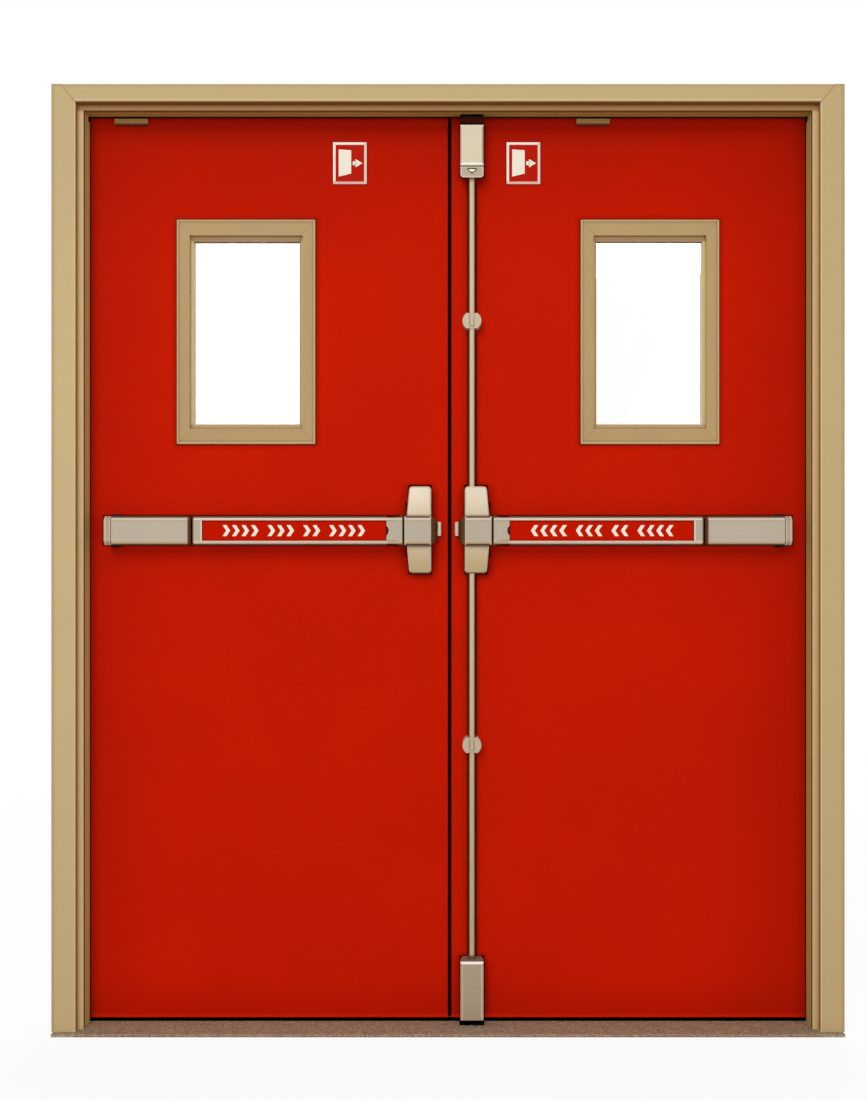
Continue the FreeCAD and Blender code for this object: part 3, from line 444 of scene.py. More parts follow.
@dataclass(frozen=True)
class ClearGlass:
    """Clear plate glass with a faint waviness."""

    name: str = "clear_glass"
    tint: Colour = (0.97, 0.99, 0.98, 1.0)
    ior: float = 1.45

    def build(self) -> bpy.types.Material:
        """Lay out the material's nodes.

        Returns:
            The material.
        """
        palette = Palette(self.name)
        shader = palette.shader
        smear = palette.noise(5.0, 4.0, 0.5)
        tone = palette.blend(palette.span(smear, 0.3, 0.7), self.tint, (0.99, 1.0, 0.99, 1.0))
        palette.feed(shader.inputs["Base Color"], tone)
        palette.feed(shader.inputs["Roughness"], palette.span(smear, 0.3, 0.75, 0.0, 0.02))
        shader.inputs["Transmission Weight"].default_value = 1.0
        shader.inputs["IOR"].default_value = self.ior
        palette.relief(palette.noise(2.2, 2.0, 0.4), 0.005, 0.2 * MM)
        return palette.material


class Finishes:
    """Builds each finish once and hands it out by name."""

    def __init__(self, coats: Iterable[Coat | ClearGlass]) -> None:
        """Build the materials of all the coats."""
        self._made: dict[str, bpy.types.Material] = {coat.name: coat.build() for coat in coats}

    def __getitem__(self, name: str) -> bpy.types.Material:
        """The material of this name."""
        return self._made[name]


# Colours of the door, as they show on a display, among them the darker reds, blacks, browns and dark tans of painted
# shade and the lit red, creams and light tans of painted light

TAN = srgb(196, 173, 128)
TAN_LOW = srgb(191, 168, 123)
TAN_DARK = srgb(104, 68, 32)
STEP_TAN = srgb(197, 171, 126)
STEP_BROWN = srgb(164, 123, 78)
REVEAL_TAN = srgb(206, 194, 118)
REVEAL_DARK = srgb(118, 74, 40)
RED = srgb(193, 26, 2)
RED_SHADE = srgb(120, 12, 2)
DARK_RED_SHADE = srgb(50, 5, 1)
RED_LIT = srgb(236, 36, 4)
SHADE_BLACK = srgb(8, 3, 2)
TRIM_TAN = srgb(177, 149, 105)
TRIM_LIGHT = srgb(196, 176, 132)
TRIM_DARK = srgb(100, 68, 34)
SILVER = srgb(173, 162, 145)
CREAM = srgb(216, 203, 180)
WARM_TAN = srgb(206, 188, 154)
BROWN_BLACK = srgb(36, 20, 11)
SEAM_TAN = srgb(128, 106, 78)
EDGE_SHADE_BROWN = srgb(84, 50, 30)
INK_WHITE = srgb(234, 228, 212)


def red_patch(middle: Flat, half: Flat, reach: float, strength: float, mirrored: bool = False,
              colour: Colour = DARK_RED_SHADE) -> Patch:
    """A patch of red round a fitting on the leaves, laid in millimetres: painted shade in a darker red, or painted
    light in a lighter one.

    Args:
        middle: X and Z of the fitting's middle.
        half: Half its width and height.
        reach: How far the patch reaches from it.
        strength: How strong it is at the fitting.
        mirrored: Whether it lies on both leaves.
        colour: The painted red: a darker one for painted shade, a lighter one for painted light.

    Returns:
        The patch.
    """
    scaled = [tuple(value * MM for value in pair) for pair in (middle, half)]
    return Patch(scaled[0], scaled[1], reach * MM, colour, strength, mirrored,
                 (Gate(Measure.DEPTH, 60 * MM, 80 * MM),))


ON_LEAF = Gate(Measure.DEPTH, 0.070, 0.079)

# Painted light and shade on the leaves: darker towards the top under the head, towards the foot and towards the
# edges; painted shadows and dark shade outlines round the bars, centre cases, latches, rods, trims and signs;
# painted light just under the bars, near the head and along the foot; and black painted shade in the meeting gap and
# on the edge faces.
LEAF_CHANGES = (
    Fade(Measure.HEIGHT, 1.70, 2.09, srgb(158, 19, 2), 0.55),
    Fade(Measure.HEIGHT, 2.02, 2.10, RED_SHADE, 0.65, (ON_LEAF,)),
    Fade(Measure.HEIGHT, 0.12, 0.02, RED_SHADE, 0.18),
    Fade(Measure.SPREAD, 0.63, 0.842, srgb(160, 20, 2), 0.38),
    Fade(Measure.SPREAD, 0.80, 0.842, RED_SHADE, 0.20),
    Fade(Measure.ACROSS, 0.45, 0.80, srgb(160, 20, 2), 0.30),
    red_patch((419.5, 1076), (381, 6), 26, 0.12, True, RED_SHADE),
    red_patch((419.5, 1187), (381, 8), 32, 0.07, True, RED_SHADE),
    red_patch((419.5, 1112), (345, 4), 14, 0.95, True, RED_LIT),
    red_patch((419.5, 1144), (381, 35), 3.0, 0.85, True),
    red_patch((68, 1146), (28, 96), 24, 0.26, True, RED_SHADE),
    red_patch((36, 1146), (4, 92), 12, 0.15, True, RED_SHADE),
    red_patch((65.2, 1146), (25.8, 102.2), 4.8, 0.92, True),
    red_patch((68, 1146), (28.4, 62), 4.6, 0.92, True),
    red_patch((468.3, 1604.5), (161, 260.5), 16, 0.35, True, RED_SHADE),
    red_patch((468.3, 1604.5), (161.5, 261), 3, 0.75, True),
    red_patch((55.7, 2024), (26, 60), 14, 0.40, False, RED_SHADE),
    red_patch((55.7, 2025), (26.4, 60.2), 4.2, 0.92, False),
    red_patch((55.8, 88.5), (27, 67), 14, 0.45, False, RED_SHADE),
    red_patch((55.8, 88.5), (27.1, 68), 3.2, 0.95, False),
    red_patch((55.4, 1600), (8.4, 350), 9, 0.4, False, RED_SHADE),
    red_patch((55.4, 1600), (8.9, 350), 3.4, 0.95, False),
    red_patch((55.4, 600), (8.4, 445), 9, 0.4, False, RED_SHADE),
    red_patch((55.4, 600), (8.9, 445), 3.4, 0.95, False),
    red_patch((-227.7, 1996.5), (39.5, 49), 5, 0.5, False, RED_SHADE),
    red_patch((175, 1996.5), (39.5, 49), 5, 0.5, False, RED_SHADE),
    Patch((0.004, 2.10), (0.0048, 0.018), 0.6 * MM, SHADE_BLACK, 0.95, False, (ON_LEAF,)),
    Fade(Measure.ACROSS, -0.0020, 0.0002, DARK_RED_SHADE, 0.75, (ON_LEAF, Gate(Measure.ACROSS, -0.010, 0.002))),
    Fade(Measure.ACROSS, 0.0100, 0.0080, DARK_RED_SHADE, 0.5, (ON_LEAF, Gate(Measure.ACROSS, 0.006, 0.020))),
    Fade(Measure.ACROSS, 0.72, 0.842, RED_SHADE, 0.30, (ON_LEAF, Gate(Measure.HEIGHT, 1.98, 2.3, 0.16))),
    Fade(Measure.HEIGHT, 2.074, 2.098, RED, 0.8, (ON_LEAF,)),
    Fade(Measure.HEIGHT, 0.0228, 0.0205, srgb(222, 34, 6), 0.45, (ON_LEAF,)),
    Fade(Measure.SPREAD, 0.8284, 0.8296, SHADE_BLACK, 0.9, (ON_LEAF,)),
    Fade(Measure.DEPTH, 0.0755, 0.079, SHADE_BLACK, 1.0, (Gate(Measure.DEPTH, 0.070, 0.092),)),
)

ON_FACE = Gate(Measure.DEPTH, -4 * MM, 4 * MM)
ON_STEP = Gate(Measure.DEPTH, 17.2 * MM, 19 * MM)

# Painted light and shade on the frame: darker towards the bottom, the top and the right jamb's outer side; painted
# shade at the face's outer edges; painted highlights and dark shade lines along its inner arrises; painted shade on
# the returns, the head step and the reveals, with lighter paint on the steps and reveals to offset their shade; and
# a black painted shadow line at the rear of the soffit. The slanting crease is the mitre line.
FRAME_CHANGES = (
    Fade(Measure.HEIGHT, 1.10, 0.02, TAN_LOW, 0.85),
    Fade(Measure.HEIGHT, 1.50, 2.15, srgb(186, 164, 120), 0.8),
    Fade(Measure.ACROSS, 0.70, 0.845, srgb(186, 163, 118), 0.7),
    Fade(Measure.SPREAD, 0.889, 0.8975, srgb(170, 145, 100), 0.7, (ON_FACE,)),
    Fade(Measure.HEIGHT, 2.146, 2.155, srgb(172, 148, 104), 0.7, (ON_FACE,)),
    Fade(Measure.HEIGHT, 2.1233, 2.1203, srgb(208, 190, 146), 0.6, (ON_FACE, Gate(Measure.SPREAD, -1.0, 0.846))),
    Fade(Measure.HEIGHT, 2.1187, 2.1160, TAN_DARK, 0.9, (ON_FACE, Gate(Measure.SPREAD, -1.0, 0.8455))),
    Fade(Measure.SPREAD, 0.8495, 0.8465, srgb(214, 196, 152), 0.6, (ON_FACE, Gate(Measure.HEIGHT, -1.0, 2.114))),
    Crease((845 * MM, 2114 * MM), 42 / 35, 2.4 * MM, srgb(150, 112, 70), 0.8,
           (ON_FACE, Gate(Measure.SPREAD, 0.8455, 0.95))),
    Fade(Measure.DEPTH, 0.0025, 0.004, srgb(170, 126, 62), 1.0, (Gate(Measure.DEPTH, 0.002, 0.0172),)),
    Fade(Measure.HEIGHT, 2.112, 2.1135, srgb(140, 88, 40), 1.0, (Gate(Measure.DEPTH, 0.002, 0.0172),)),
    Fade(Measure.DEPTH, 0.0170, 0.0176, STEP_TAN, 1.0),
    Fade(Measure.HEIGHT, 2.099, 2.101, STEP_BROWN, 1.0, (Gate(Measure.DEPTH, 0.0172, 0.03),)),
    Fade(Measure.SPREAD, 0.8335, 0.8305, srgb(214, 188, 144), 0.6, (ON_STEP, Gate(Measure.HEIGHT, -1.0, 2.1))),
    Fade(Measure.SPREAD, 0.834, 0.845, TAN_DARK, 0.12, (ON_STEP,)),
    Fade(Measure.HEIGHT, 2.108, 2.114, TAN_DARK, 0.15, (ON_STEP,)),
    Fade(Measure.HEIGHT, 2.1040, 2.1005, srgb(112, 72, 34), 0.8, (ON_STEP, Gate(Measure.HEIGHT, 2.0995, 2.106),
                                                               Gate(Measure.SPREAD, -1.0, 0.831))),
    Fade(Measure.DEPTH, 0.0186, 0.0196, REVEAL_DARK, 1.0),
    Fade(Measure.DEPTH, 0.024, 0.034, REVEAL_TAN, 1.0),
    Fade(Measure.ACROSS, 0.82, 0.83, srgb(186, 170, 100), 0.9, (Gate(Measure.DEPTH, 0.028, 0.0722),)),
    Fade(Measure.HEIGHT, 2.0985, 2.0995, srgb(180, 154, 84), 1.0, (Gate(Measure.DEPTH, 0.028, 0.0722),)),
    Fade(Measure.DEPTH, 0.057, 0.061, SHADE_BLACK, 0.95, (Gate(Measure.DEPTH, 0.05, 0.0722),
                                                     Gate(Measure.HEIGHT, 2.09, 2.102))),
    Fade(Measure.DEPTH, 0.0725, 0.075, TAN_LOW, 1.0),
)


def trim_creases() -> tuple[Crease, ...]:
    """The faint mitre lines at the corners of the vision trims."""
    middle, half, across = (468.3, 1604.5), (161.0, 260.5), 30.0
    lines = []
    for right in (-1, 1):
        for up in (-1, 1):
            corner = (middle[0] + right * (half[0] - across), middle[1] + up * (half[1] - across))
            lines.append(Crease(tuple(value * MM for value in corner), right * up, 1.6 * MM, TRIM_DARK, 0.35, (
                Gate(Measure.SPREAD, (corner[0] - across) * MM, (corner[0] + across) * MM),
                Gate(Measure.HEIGHT, (corner[1] - across) * MM, (corner[1] + across) * MM),
                Gate(Measure.DEPTH, 0.0, 73.5 * MM))))
    return tuple(lines)


def trim_changes() -> tuple[Fade | Patch | Crease, ...]:
    """Colours of the vision trims: a painted highlight on the light rim, a darker painted shade line inside it, the
    flat, painted shade on the bevels, steps, top, bottom and shaded neck, lighter paint on the inner walls to offset
    their shade, and near-white painted light deep inside.
    """
    in_front = Gate(Measure.DEPTH, 0.0, 0.0735)
    on_ledge = Gate(Measure.DEPTH, 0.0825, 0.0852)
    return (
        Fade(Measure.DEPTH, 0.0700, 0.0692, TRIM_LIGHT, 0.75, (in_front,)),
        Fade(Measure.FACING, 0.95, 0.6, srgb(150, 116, 74), 0.9, (in_front,)),
        *trim_creases(),
        *(Fade(Measure.SPREAD, 0.0, 0.001, TRIM_DARK, 0.26, (in_front, Gate(across, low, high, 1.2 * MM), inside))
          for across, low, high, inside in (
              (Measure.SPREAD, 0.6212, 0.6240, Gate(Measure.HEIGHT, 1.351, 1.859)),
              (Measure.SPREAD, 0.3126, 0.3154, Gate(Measure.HEIGHT, 1.351, 1.859)),
              (Measure.HEIGHT, 1.3508, 1.3534, Gate(Measure.SPREAD, 0.3126, 0.6240)),
              (Measure.HEIGHT, 1.8565, 1.8585, Gate(Measure.SPREAD, 0.3126, 0.6240)))),
        Fade(Measure.DEPTH, 0.0715, 0.0722, srgb(206, 163, 105), 1.0, (Gate(Measure.DEPTH, 0.0715, 0.0833),)),
        Fade(Measure.DEPTH, 0.0833, 0.0838, srgb(206, 181, 134), 1.0),
        Fade(Measure.HEIGHT, 1.394, 1.390, srgb(182, 154, 112), 0.9, (Gate(Measure.DEPTH, 0.0715, 0.09),)),
        Fade(Measure.HEIGHT, 1.818, 1.824, TRIM_DARK, 0.28, (Gate(Measure.DEPTH, 0.0715, 0.09),)),
        Fade(Measure.HEIGHT, 1.8242, 1.8228, srgb(150, 112, 66), 0.7, (Gate(Measure.DEPTH, 0.0830, 0.0852),
                                                                      Gate(Measure.HEIGHT, 1.8175, 1.825))),
        Fade(Measure.SPREAD, 0.3408, 0.3418, srgb(150, 108, 62), 0.8, (
            on_ledge, Gate(Measure.SPREAD, 0.3400, 0.3450), Gate(Measure.HEIGHT, 1.388, 1.822))),
        Fade(Measure.HEIGHT, 1.3846, 1.3838, srgb(150, 108, 62), 0.6, (
            on_ledge, Gate(Measure.SPREAD, 0.3385, 0.5990))),
        Fade(Measure.DEPTH, 0.0850, 0.0870, srgb(244, 236, 220), 0.95),
        Fade(Measure.DEPTH, 0.112, 0.1185, TRIM_TAN, 1.0),
    )


ON_PAD = Gate(Measure.SPREAD, 138 * MM, 583 * MM)


def edge_bands(low: float, high: float) -> tuple[Fade, ...]:
    """Bands along the bars' top and bottom edges: a painted shade line at the very edge and painted highlights
    inside it.

    Args:
        low: Z of the bar's lower edge.
        high: Z of its upper edge.

    Returns:
        The changes.
    """
    front = Gate(Measure.DEPTH, 0.0, 27 * MM, 4 * MM)
    return (
        Fade(Measure.HEIGHT, high - 9.5 * MM, high - 11.0 * MM, srgb(168, 151, 126), 0.8,
             (Gate(Measure.HEIGHT, high - 12.5 * MM, high - 9.0 * MM, 1.0 * MM),)),
        Fade(Measure.HEIGHT, high - 9.5 * MM, high - 7.5 * MM, srgb(209, 199, 179), 1.0, (front,)),
        Fade(Measure.HEIGHT, high - 9.5 * MM, high - 7.5 * MM, srgb(225, 208, 190), 0.9, (ON_PAD, front)),
        Fade(Measure.HEIGHT, high - 5.0 * MM, high - 2.8 * MM, EDGE_SHADE_BROWN, 0.95, (front,)),
        Fade(Measure.HEIGHT, low + 10.5 * MM, low + 9.0 * MM, WARM_TAN, 0.9, (front,)),
        Fade(Measure.HEIGHT, low + 10.5 * MM, low + 9.0 * MM, srgb(227, 212, 196), 0.9, (ON_PAD, front)),
        Fade(Measure.HEIGHT, low + 4.6 * MM, low + 2.4 * MM, EDGE_SHADE_BROWN, 0.95, (front,)),
    )


def device_changes() -> tuple[Fade | Patch, ...]:
    """Colours of the bars' covers: painted highlights on their bevels, lip and inner edges, seam lines, painted
    shade at the joints, sides and the flare's notch, and painted shade that darkens them from their fronts to their
    feet.
    """
    return (
        Fade(Measure.SPREAD, 0.585, 0.590, srgb(176, 165, 148), 1.0, (Gate(Measure.SPREAD, 0.585, 0.7684),)),
        Fade(Measure.SIDEWAYS, 0.2, 0.6, srgb(204, 190, 170), 0.8),
        *edge_bands(1.110, 1.176),
        Fade(Measure.DEPTH, 0.0148, 0.0140, CREAM, 1.0, (Gate(Measure.SPREAD, 0.5602, 0.565),)),
        Fade(Measure.SPREAD, 0.7672, 0.7684, SEAM_TAN, 0.8, (Gate(Measure.SPREAD, 0.767, 0.7704),)),
        Patch((0.1410, 1.1430), (0.0052, 0.0100), 4.2 * MM, SHADE_BLACK, 1.0, True,
              (Gate(Measure.SPREAD, 0.128, 0.1402), Gate(Measure.DEPTH, 0.0125, 0.05))),
        Fade(Measure.SPREAD, 0.7690, 0.7700, srgb(160, 141, 118), 0.8),
        Fade(Measure.SPREAD, 0.7790, 0.7802, srgb(208, 194, 170), 0.55, (Gate(Measure.SPREAD, 0.779, 0.7842),)),
        Fade(Measure.SPREAD, 0.7740, 0.7730, srgb(202, 188, 164), 0.5, (Gate(Measure.SPREAD, 0.7704, 0.775),)),
        Fade(Measure.SPREAD, 0.7840, 0.7862, EDGE_SHADE_BROWN, 0.90),
        Fade(Measure.SPREAD, 0.5785, 0.5812, srgb(104, 60, 36), 0.85, (Gate(Measure.SPREAD, 0.57, 0.585),)),
        Fade(Measure.SPREAD, 0.5952, 0.5932, srgb(104, 60, 36), 0.8, (Gate(Measure.SPREAD, 0.590, 0.60),)),
        Fade(Measure.SPREAD, 0.0420, 0.0405, CREAM, 0.7),
        Fade(Measure.SPREAD, 0.0955, 0.0970, CREAM, 0.7, (Gate(Measure.SPREAD, 0.09, 0.0995),)),
        Fade(Measure.SPREAD, 0.0985, 0.0995, SEAM_TAN, 0.8, (Gate(Measure.SPREAD, 0.0985, 0.105),)),
        Fade(Measure.DEPTH, 0.036, 0.072, srgb(92, 70, 50), 0.75),
        Fade(Measure.SIDEWAYS, 0.9, 0.98, srgb(96, 72, 48), 0.85),
    )


def coats() -> tuple[Coat | ClearGlass, ...]:
    """All the finishes of the door.

    Returns:
        The finishes.
    """
    champagne = dict(metallic=0.10, specular=0.15, roughness=0.5, cloud=0.04, grain=0.07, grain_scale=900.0,
                     relief=0.06, relief_scale=1400.0)
    return (
        Coat("frame_paint", TAN, FRAME_CHANGES, cloud=0.025, grain=0.035, specular=0.08, roughness=0.6),
        Coat("leaf_paint", RED, LEAF_CHANGES, cloud=0.04, cloud_scale=3.0, grain=0.04, specular=0.01,
             roughness=0.55, relief=0.10, relief_scale=500.0),
        Coat("trim_paint", TRIM_TAN, trim_changes(), cloud=0.03, grain=0.05, specular=0.08),
        Coat("device_paint", SILVER, device_changes(), **champagne),
        # Painted light and shade on the centre case: lighter on its upper half and darker on its lower half as if
        # lit from above, lighter bevels, darker down-facing faces, painted contact shadows above and below the
        # block, a shade line at its foot, and painted shade towards the leaf and on its sides.
        Coat("case_paint", srgb(198, 182, 152), (
            Fade(Measure.HEIGHT, 1.165, 1.19, srgb(208, 193, 166), 0.95),
            Fade(Measure.HEIGHT, 1.19, 1.23, srgb(216, 202, 182), 0.8),
            Fade(Measure.HEIGHT, 1.13, 1.05, srgb(184, 163, 122), 0.95),
            Fade(Measure.SIDEWAYS, 0.2, 0.6, srgb(216, 202, 180), 0.8),
            Fade(Measure.UPWARD, -0.3, -0.6, srgb(150, 124, 92), 0.7),
            Fade(Measure.HEIGHT, 1.1815, 1.1775, srgb(140, 118, 92), 0.7, (Gate(Measure.HEIGHT, 1.17, 1.19),)),
            Fade(Measure.HEIGHT, 1.1045, 1.1085, srgb(120, 84, 64), 0.7, (Gate(Measure.HEIGHT, 1.09, 1.12),)),
            Fade(Measure.HEIGHT, 1.0485, 1.0460, srgb(128, 100, 72), 0.85),
            Fade(Measure.DEPTH, 0.050, 0.070, BROWN_BLACK, 0.9),
            Fade(Measure.SIDEWAYS, 0.9, 0.98, srgb(84, 60, 38), 0.9)), **champagne),
        # Painted shade on the rods: darker lower down, darker towards their sides as on a lit round bar, and a
        # painted shadow just above the bottom case.
        Coat("rod_paint", srgb(196, 176, 145), (
            Fade(Measure.HEIGHT, 1.0, 0.2, srgb(180, 160, 122), 0.8),
            Fade(Measure.FACING, 0.88, 0.62, srgb(56, 38, 22), 0.95),
            Fade(Measure.HEIGHT, 0.1675, 0.1645, srgb(98, 72, 54), 0.95)),
             **(champagne | {"stretch": (1.0, 1.0, 0.06)})),
        # Painted light and shade on the top latch cover: painted highlights along its edges and across its top and
        # foot, a grey line at its right edge, a dark shade line below, and painted shade towards the leaf and on its
        # sides.
        Coat("top_case_paint", srgb(200, 188, 164), (
            Fade(Measure.ACROSS, 0.0345, 0.0315, srgb(222, 210, 190), 0.9),
            Fade(Measure.ACROSS, 0.0795, 0.0805, srgb(150, 142, 132), 0.8),
            Fade(Measure.HEIGHT, 2.0675, 2.0695, srgb(248, 244, 232), 0.95),
            Fade(Measure.HEIGHT, 1.9855, 1.9835, srgb(252, 248, 234), 0.95),
            Fade(Measure.HEIGHT, 1.9800, 1.9790, srgb(96, 88, 76), 0.9),
            Fade(Measure.DEPTH, 0.035, 0.06, BROWN_BLACK, 0.85),
            Fade(Measure.SIDEWAYS, 0.9, 0.98, srgb(96, 72, 48), 0.8)), **champagne),
        # Painted light and shade on the top latch base: lighter edge bands and a painted glint, black painted shade
        # in its slot, painted shade towards the leaf and on its sides, and a red painted reflection of the leaf on
        # its underside.
        Coat("top_base_paint", srgb(168, 155, 135), (
            Fade(Measure.HEIGHT, 1.957, 1.9545, srgb(200, 186, 166), 0.8),
            Fade(Measure.ACROSS, 0.0325, 0.0305, srgb(200, 188, 170), 0.8),
            Fade(Measure.ACROSS, 0.0775, 0.0795, srgb(200, 188, 170), 0.8),
            Fade(Measure.HEIGHT, 1.9745, 1.976, srgb(214, 204, 184), 0.9),
            Patch((0.055, 1.9688), (0.0050, 0.0014), 0.0022, srgb(246, 236, 212), 0.95, False,
                  (Gate(Measure.DEPTH, 0.030, 0.0326),)),
            Fade(Measure.DEPTH, 0.0320, 0.0326, srgb(24, 14, 8), 0.95, (Gate(Measure.ACROSS, 0.044, 0.066),
                                                                    Gate(Measure.HEIGHT, 1.958, 1.9765))),
            Fade(Measure.DEPTH, 0.038, 0.06, BROWN_BLACK, 0.85),
            Fade(Measure.UPWARD, -0.85, -0.95, srgb(104, 14, 5), 0.9),
            Fade(Measure.SIDEWAYS, 0.9, 0.98, srgb(96, 72, 48), 0.8)), **champagne),
        # Painted light and shade on the bottom latch case: darker low down, painted highlights along its sides, foot
        # and top arris, a darker top face, and painted shade towards the leaf and on its sides.
        Coat("bottom_case_paint", srgb(166, 151, 129), (
            Fade(Measure.HEIGHT, 0.08, 0.03, srgb(162, 145, 120), 0.8),
            Fade(Measure.ACROSS, 0.0355, 0.0325, srgb(200, 184, 156), 0.85),
            Fade(Measure.ACROSS, 0.0745, 0.0775, srgb(212, 197, 170), 0.85),
            Fade(Measure.HEIGHT, 0.0265, 0.0245, srgb(206, 190, 162), 0.8),
            Fade(Measure.HEIGHT, 0.1505, 0.1520, srgb(252, 248, 238), 0.95),
            Fade(Measure.UPWARD, 0.85, 0.97, srgb(146, 118, 92), 0.95),
            Fade(Measure.DEPTH, 0.035, 0.06, BROWN_BLACK, 0.8, (Gate(Measure.UPWARD, -2.0, 0.8, 0.1),)),
            Fade(Measure.SIDEWAYS, 0.9, 0.98, srgb(96, 72, 48), 0.8)), **champagne),
        # Painted light on the rail where it shows in the gaps by the case and the block, to offset the shade there,
        # and darker paint on its front flanges against the light they catch.
        Coat("rail_paint", srgb(190, 150, 112), (
            Fade(Measure.SPREAD, 0.580, 0.582, srgb(255, 176, 120), 1.0, (Gate(Measure.SPREAD, 0.58, 0.595),)),
            Fade(Measure.DEPTH, 0.048, 0.044, srgb(120, 66, 38), 1.0),
            Fade(Measure.SPREAD, 0.105, 0.103, srgb(255, 236, 204), 1.0, (Gate(Measure.SPREAD, 0.098, 0.106),))),
             cloud=0.08, grain=0.08, specular=0.02),
        # Painted light on the guides' upward faces.
        Coat("guide_paint", srgb(188, 171, 148), (
            Fade(Measure.UPWARD, 0.2, 0.8, CREAM, 0.9),), **champagne),
        Coat("dark_metal", BROWN_BLACK, cloud=0.12, grain=0.12, specular=0.2, roughness=0.5),
        Coat("guide_metal", srgb(104, 66, 40), cloud=0.12, grain=0.22, specular=0.06, roughness=0.6,
             changes=(Fade(Measure.SPREAD, 0.033, 0.029, srgb(70, 38, 22), 0.9),
                      Fade(Measure.SPREAD, 0.7, 0.71, srgb(34, 18, 10), 0.95))),
        # Black painted shade along the strike's top under the soffit.
        Coat("strike_metal", srgb(54, 21, 12), (
            Fade(Measure.HEIGHT, 2.0935, 2.096, SHADE_BLACK, 0.95),), cloud=0.12, grain=0.25, specular=0.0),
        # Painted light and shade on the head tabs: lighter edge faces, a lighter band near the top, a dark painted
        # shade line at the foot and a black painted shadow gap above.
        Coat("tab_paint", srgb(162, 116, 60), (
            Fade(Measure.FACING, 0.9, 0.7, srgb(204, 172, 122), 0.8),
            Fade(Measure.HEIGHT, 2.0930, 2.0950, srgb(176, 148, 112), 0.8),
            Fade(Measure.HEIGHT, 2.0872, 2.0856, srgb(70, 58, 46), 0.9),
            Fade(Measure.HEIGHT, 2.0962, 2.0975, SHADE_BLACK, 0.95)), cloud=0.06, specular=0.1),
        Coat("bolt_steel", srgb(198, 184, 158), (
            Fade(Measure.SPREAD, 0.0215, 0.0245, srgb(96, 74, 50), 0.8),
            Fade(Measure.SPREAD, 0.0182, 0.0162, srgb(120, 98, 72), 0.7)),
             cloud=0.06, grain=0.08, metallic=0.2, specular=0.2, roughness=0.45, stretch=(0.2, 1.0, 1.0)),
        Coat("hinge_steel", srgb(176, 172, 164), cloud=0.06, grain=0.08, metallic=0.85, roughness=0.34,
             stretch=(1.0, 1.0, 0.15)),
        Coat("screw_steel", srgb(168, 160, 146), cloud=0.06, grain=0.06, metallic=0.85, roughness=0.3,
             grain_scale=1500.0),
        # Painted shade on the strip where it sits in the pad: darker along its top and bottom and dark lines at its
        # ends.
        Coat("red_strip", srgb(188, 23, 1), (
            Fade(Measure.HEIGHT, 1.1605, 1.1655, RED_SHADE, 0.75),
            Fade(Measure.HEIGHT, 1.1250, 1.1205, RED_SHADE, 0.5),
            Fade(Measure.SPREAD, 0.5575, 0.5595, BROWN_BLACK, 0.95),
            Fade(Measure.SPREAD, 0.1435, 0.1415, RED_SHADE, 0.8)), cloud=0.03, specular=0.0, roughness=0.5),
        Coat("sign_red", srgb(178, 22, 1), cloud=0.03, specular=0.03, roughness=0.5),
        Coat("ink_white", INK_WHITE, cloud=0.03, grain=0.04, specular=0.05, roughness=0.5),
        # Painted shade on the sign borders: a darker pinkish line along the bottom and darker outer sides.
        Coat("sign_white", INK_WHITE, (
            Fade(Measure.HEIGHT, 1.9548, 1.9540, srgb(208, 160, 148), 0.8),
            Fade(Measure.ACROSS, -0.1955, -0.1948, srgb(214, 196, 180), 0.8, (Gate(Measure.ACROSS, -0.2, -0.15),)),
            Fade(Measure.ACROSS, 0.2072, 0.2079, srgb(214, 196, 180), 0.8, (Gate(Measure.ACROSS, 0.20, 0.25),))),
             cloud=0.03, grain=0.04, specular=0.05, roughness=0.5),
        # Painted light and shade on the threshold: darker towards the leaf, a darker front face, lighter ends below
        # the jambs as a painted reflection of them, a black painted shadow under the bottom latch case and black
        # painted shade under the leaf.
        Coat("threshold_coat", srgb(165, 146, 122), (
            Fade(Measure.DEPTH, -0.01, 0.07, srgb(159, 141, 114), 0.9),
            Fade(Measure.FACING, 0.5, 0.9, srgb(143, 113, 92), 0.85),
            Fade(Measure.DEPTH, -0.0165, -0.0175, srgb(176, 158, 130), 0.8, (Gate(Measure.SPREAD, 0.845, 0.9),)),
            Fade(Measure.DEPTH, 0.041, 0.045, SHADE_BLACK, 1.0, (Gate(Measure.ACROSS, 0.0262, 0.0838),)),
            Fade(Measure.DEPTH, 0.071, 0.074, SHADE_BLACK, 1.0, (Gate(Measure.DEPTH, 0.060, 0.101),))),
             cloud=0.10, cloud_scale=90.0, grain=0.42, grain_scale=260.0, specular=0.0, roughness=0.8,
             relief=0.5, relief_scale=420.0, relief_depth=0.5 * MM),
        Coat("brown_rubber", srgb(100, 53, 31), cloud=0.12, grain=0.14, specular=0.02, roughness=0.75),
        Coat("black_rubber", srgb(10, 7, 7), cloud=0.2, grain=0.2, specular=0.0, roughness=0.8),
        # Painted shade along the top of the glazing seals.
        Coat("glazing_tape", srgb(222, 204, 168), (
            Fade(Measure.HEIGHT, 1.812, 1.8165, srgb(138, 104, 64), 0.9),), cloud=0.04, grain=0.05, specular=0.02),
        ClearGlass(),
    )


# Shaping pieces with Blender's own tools

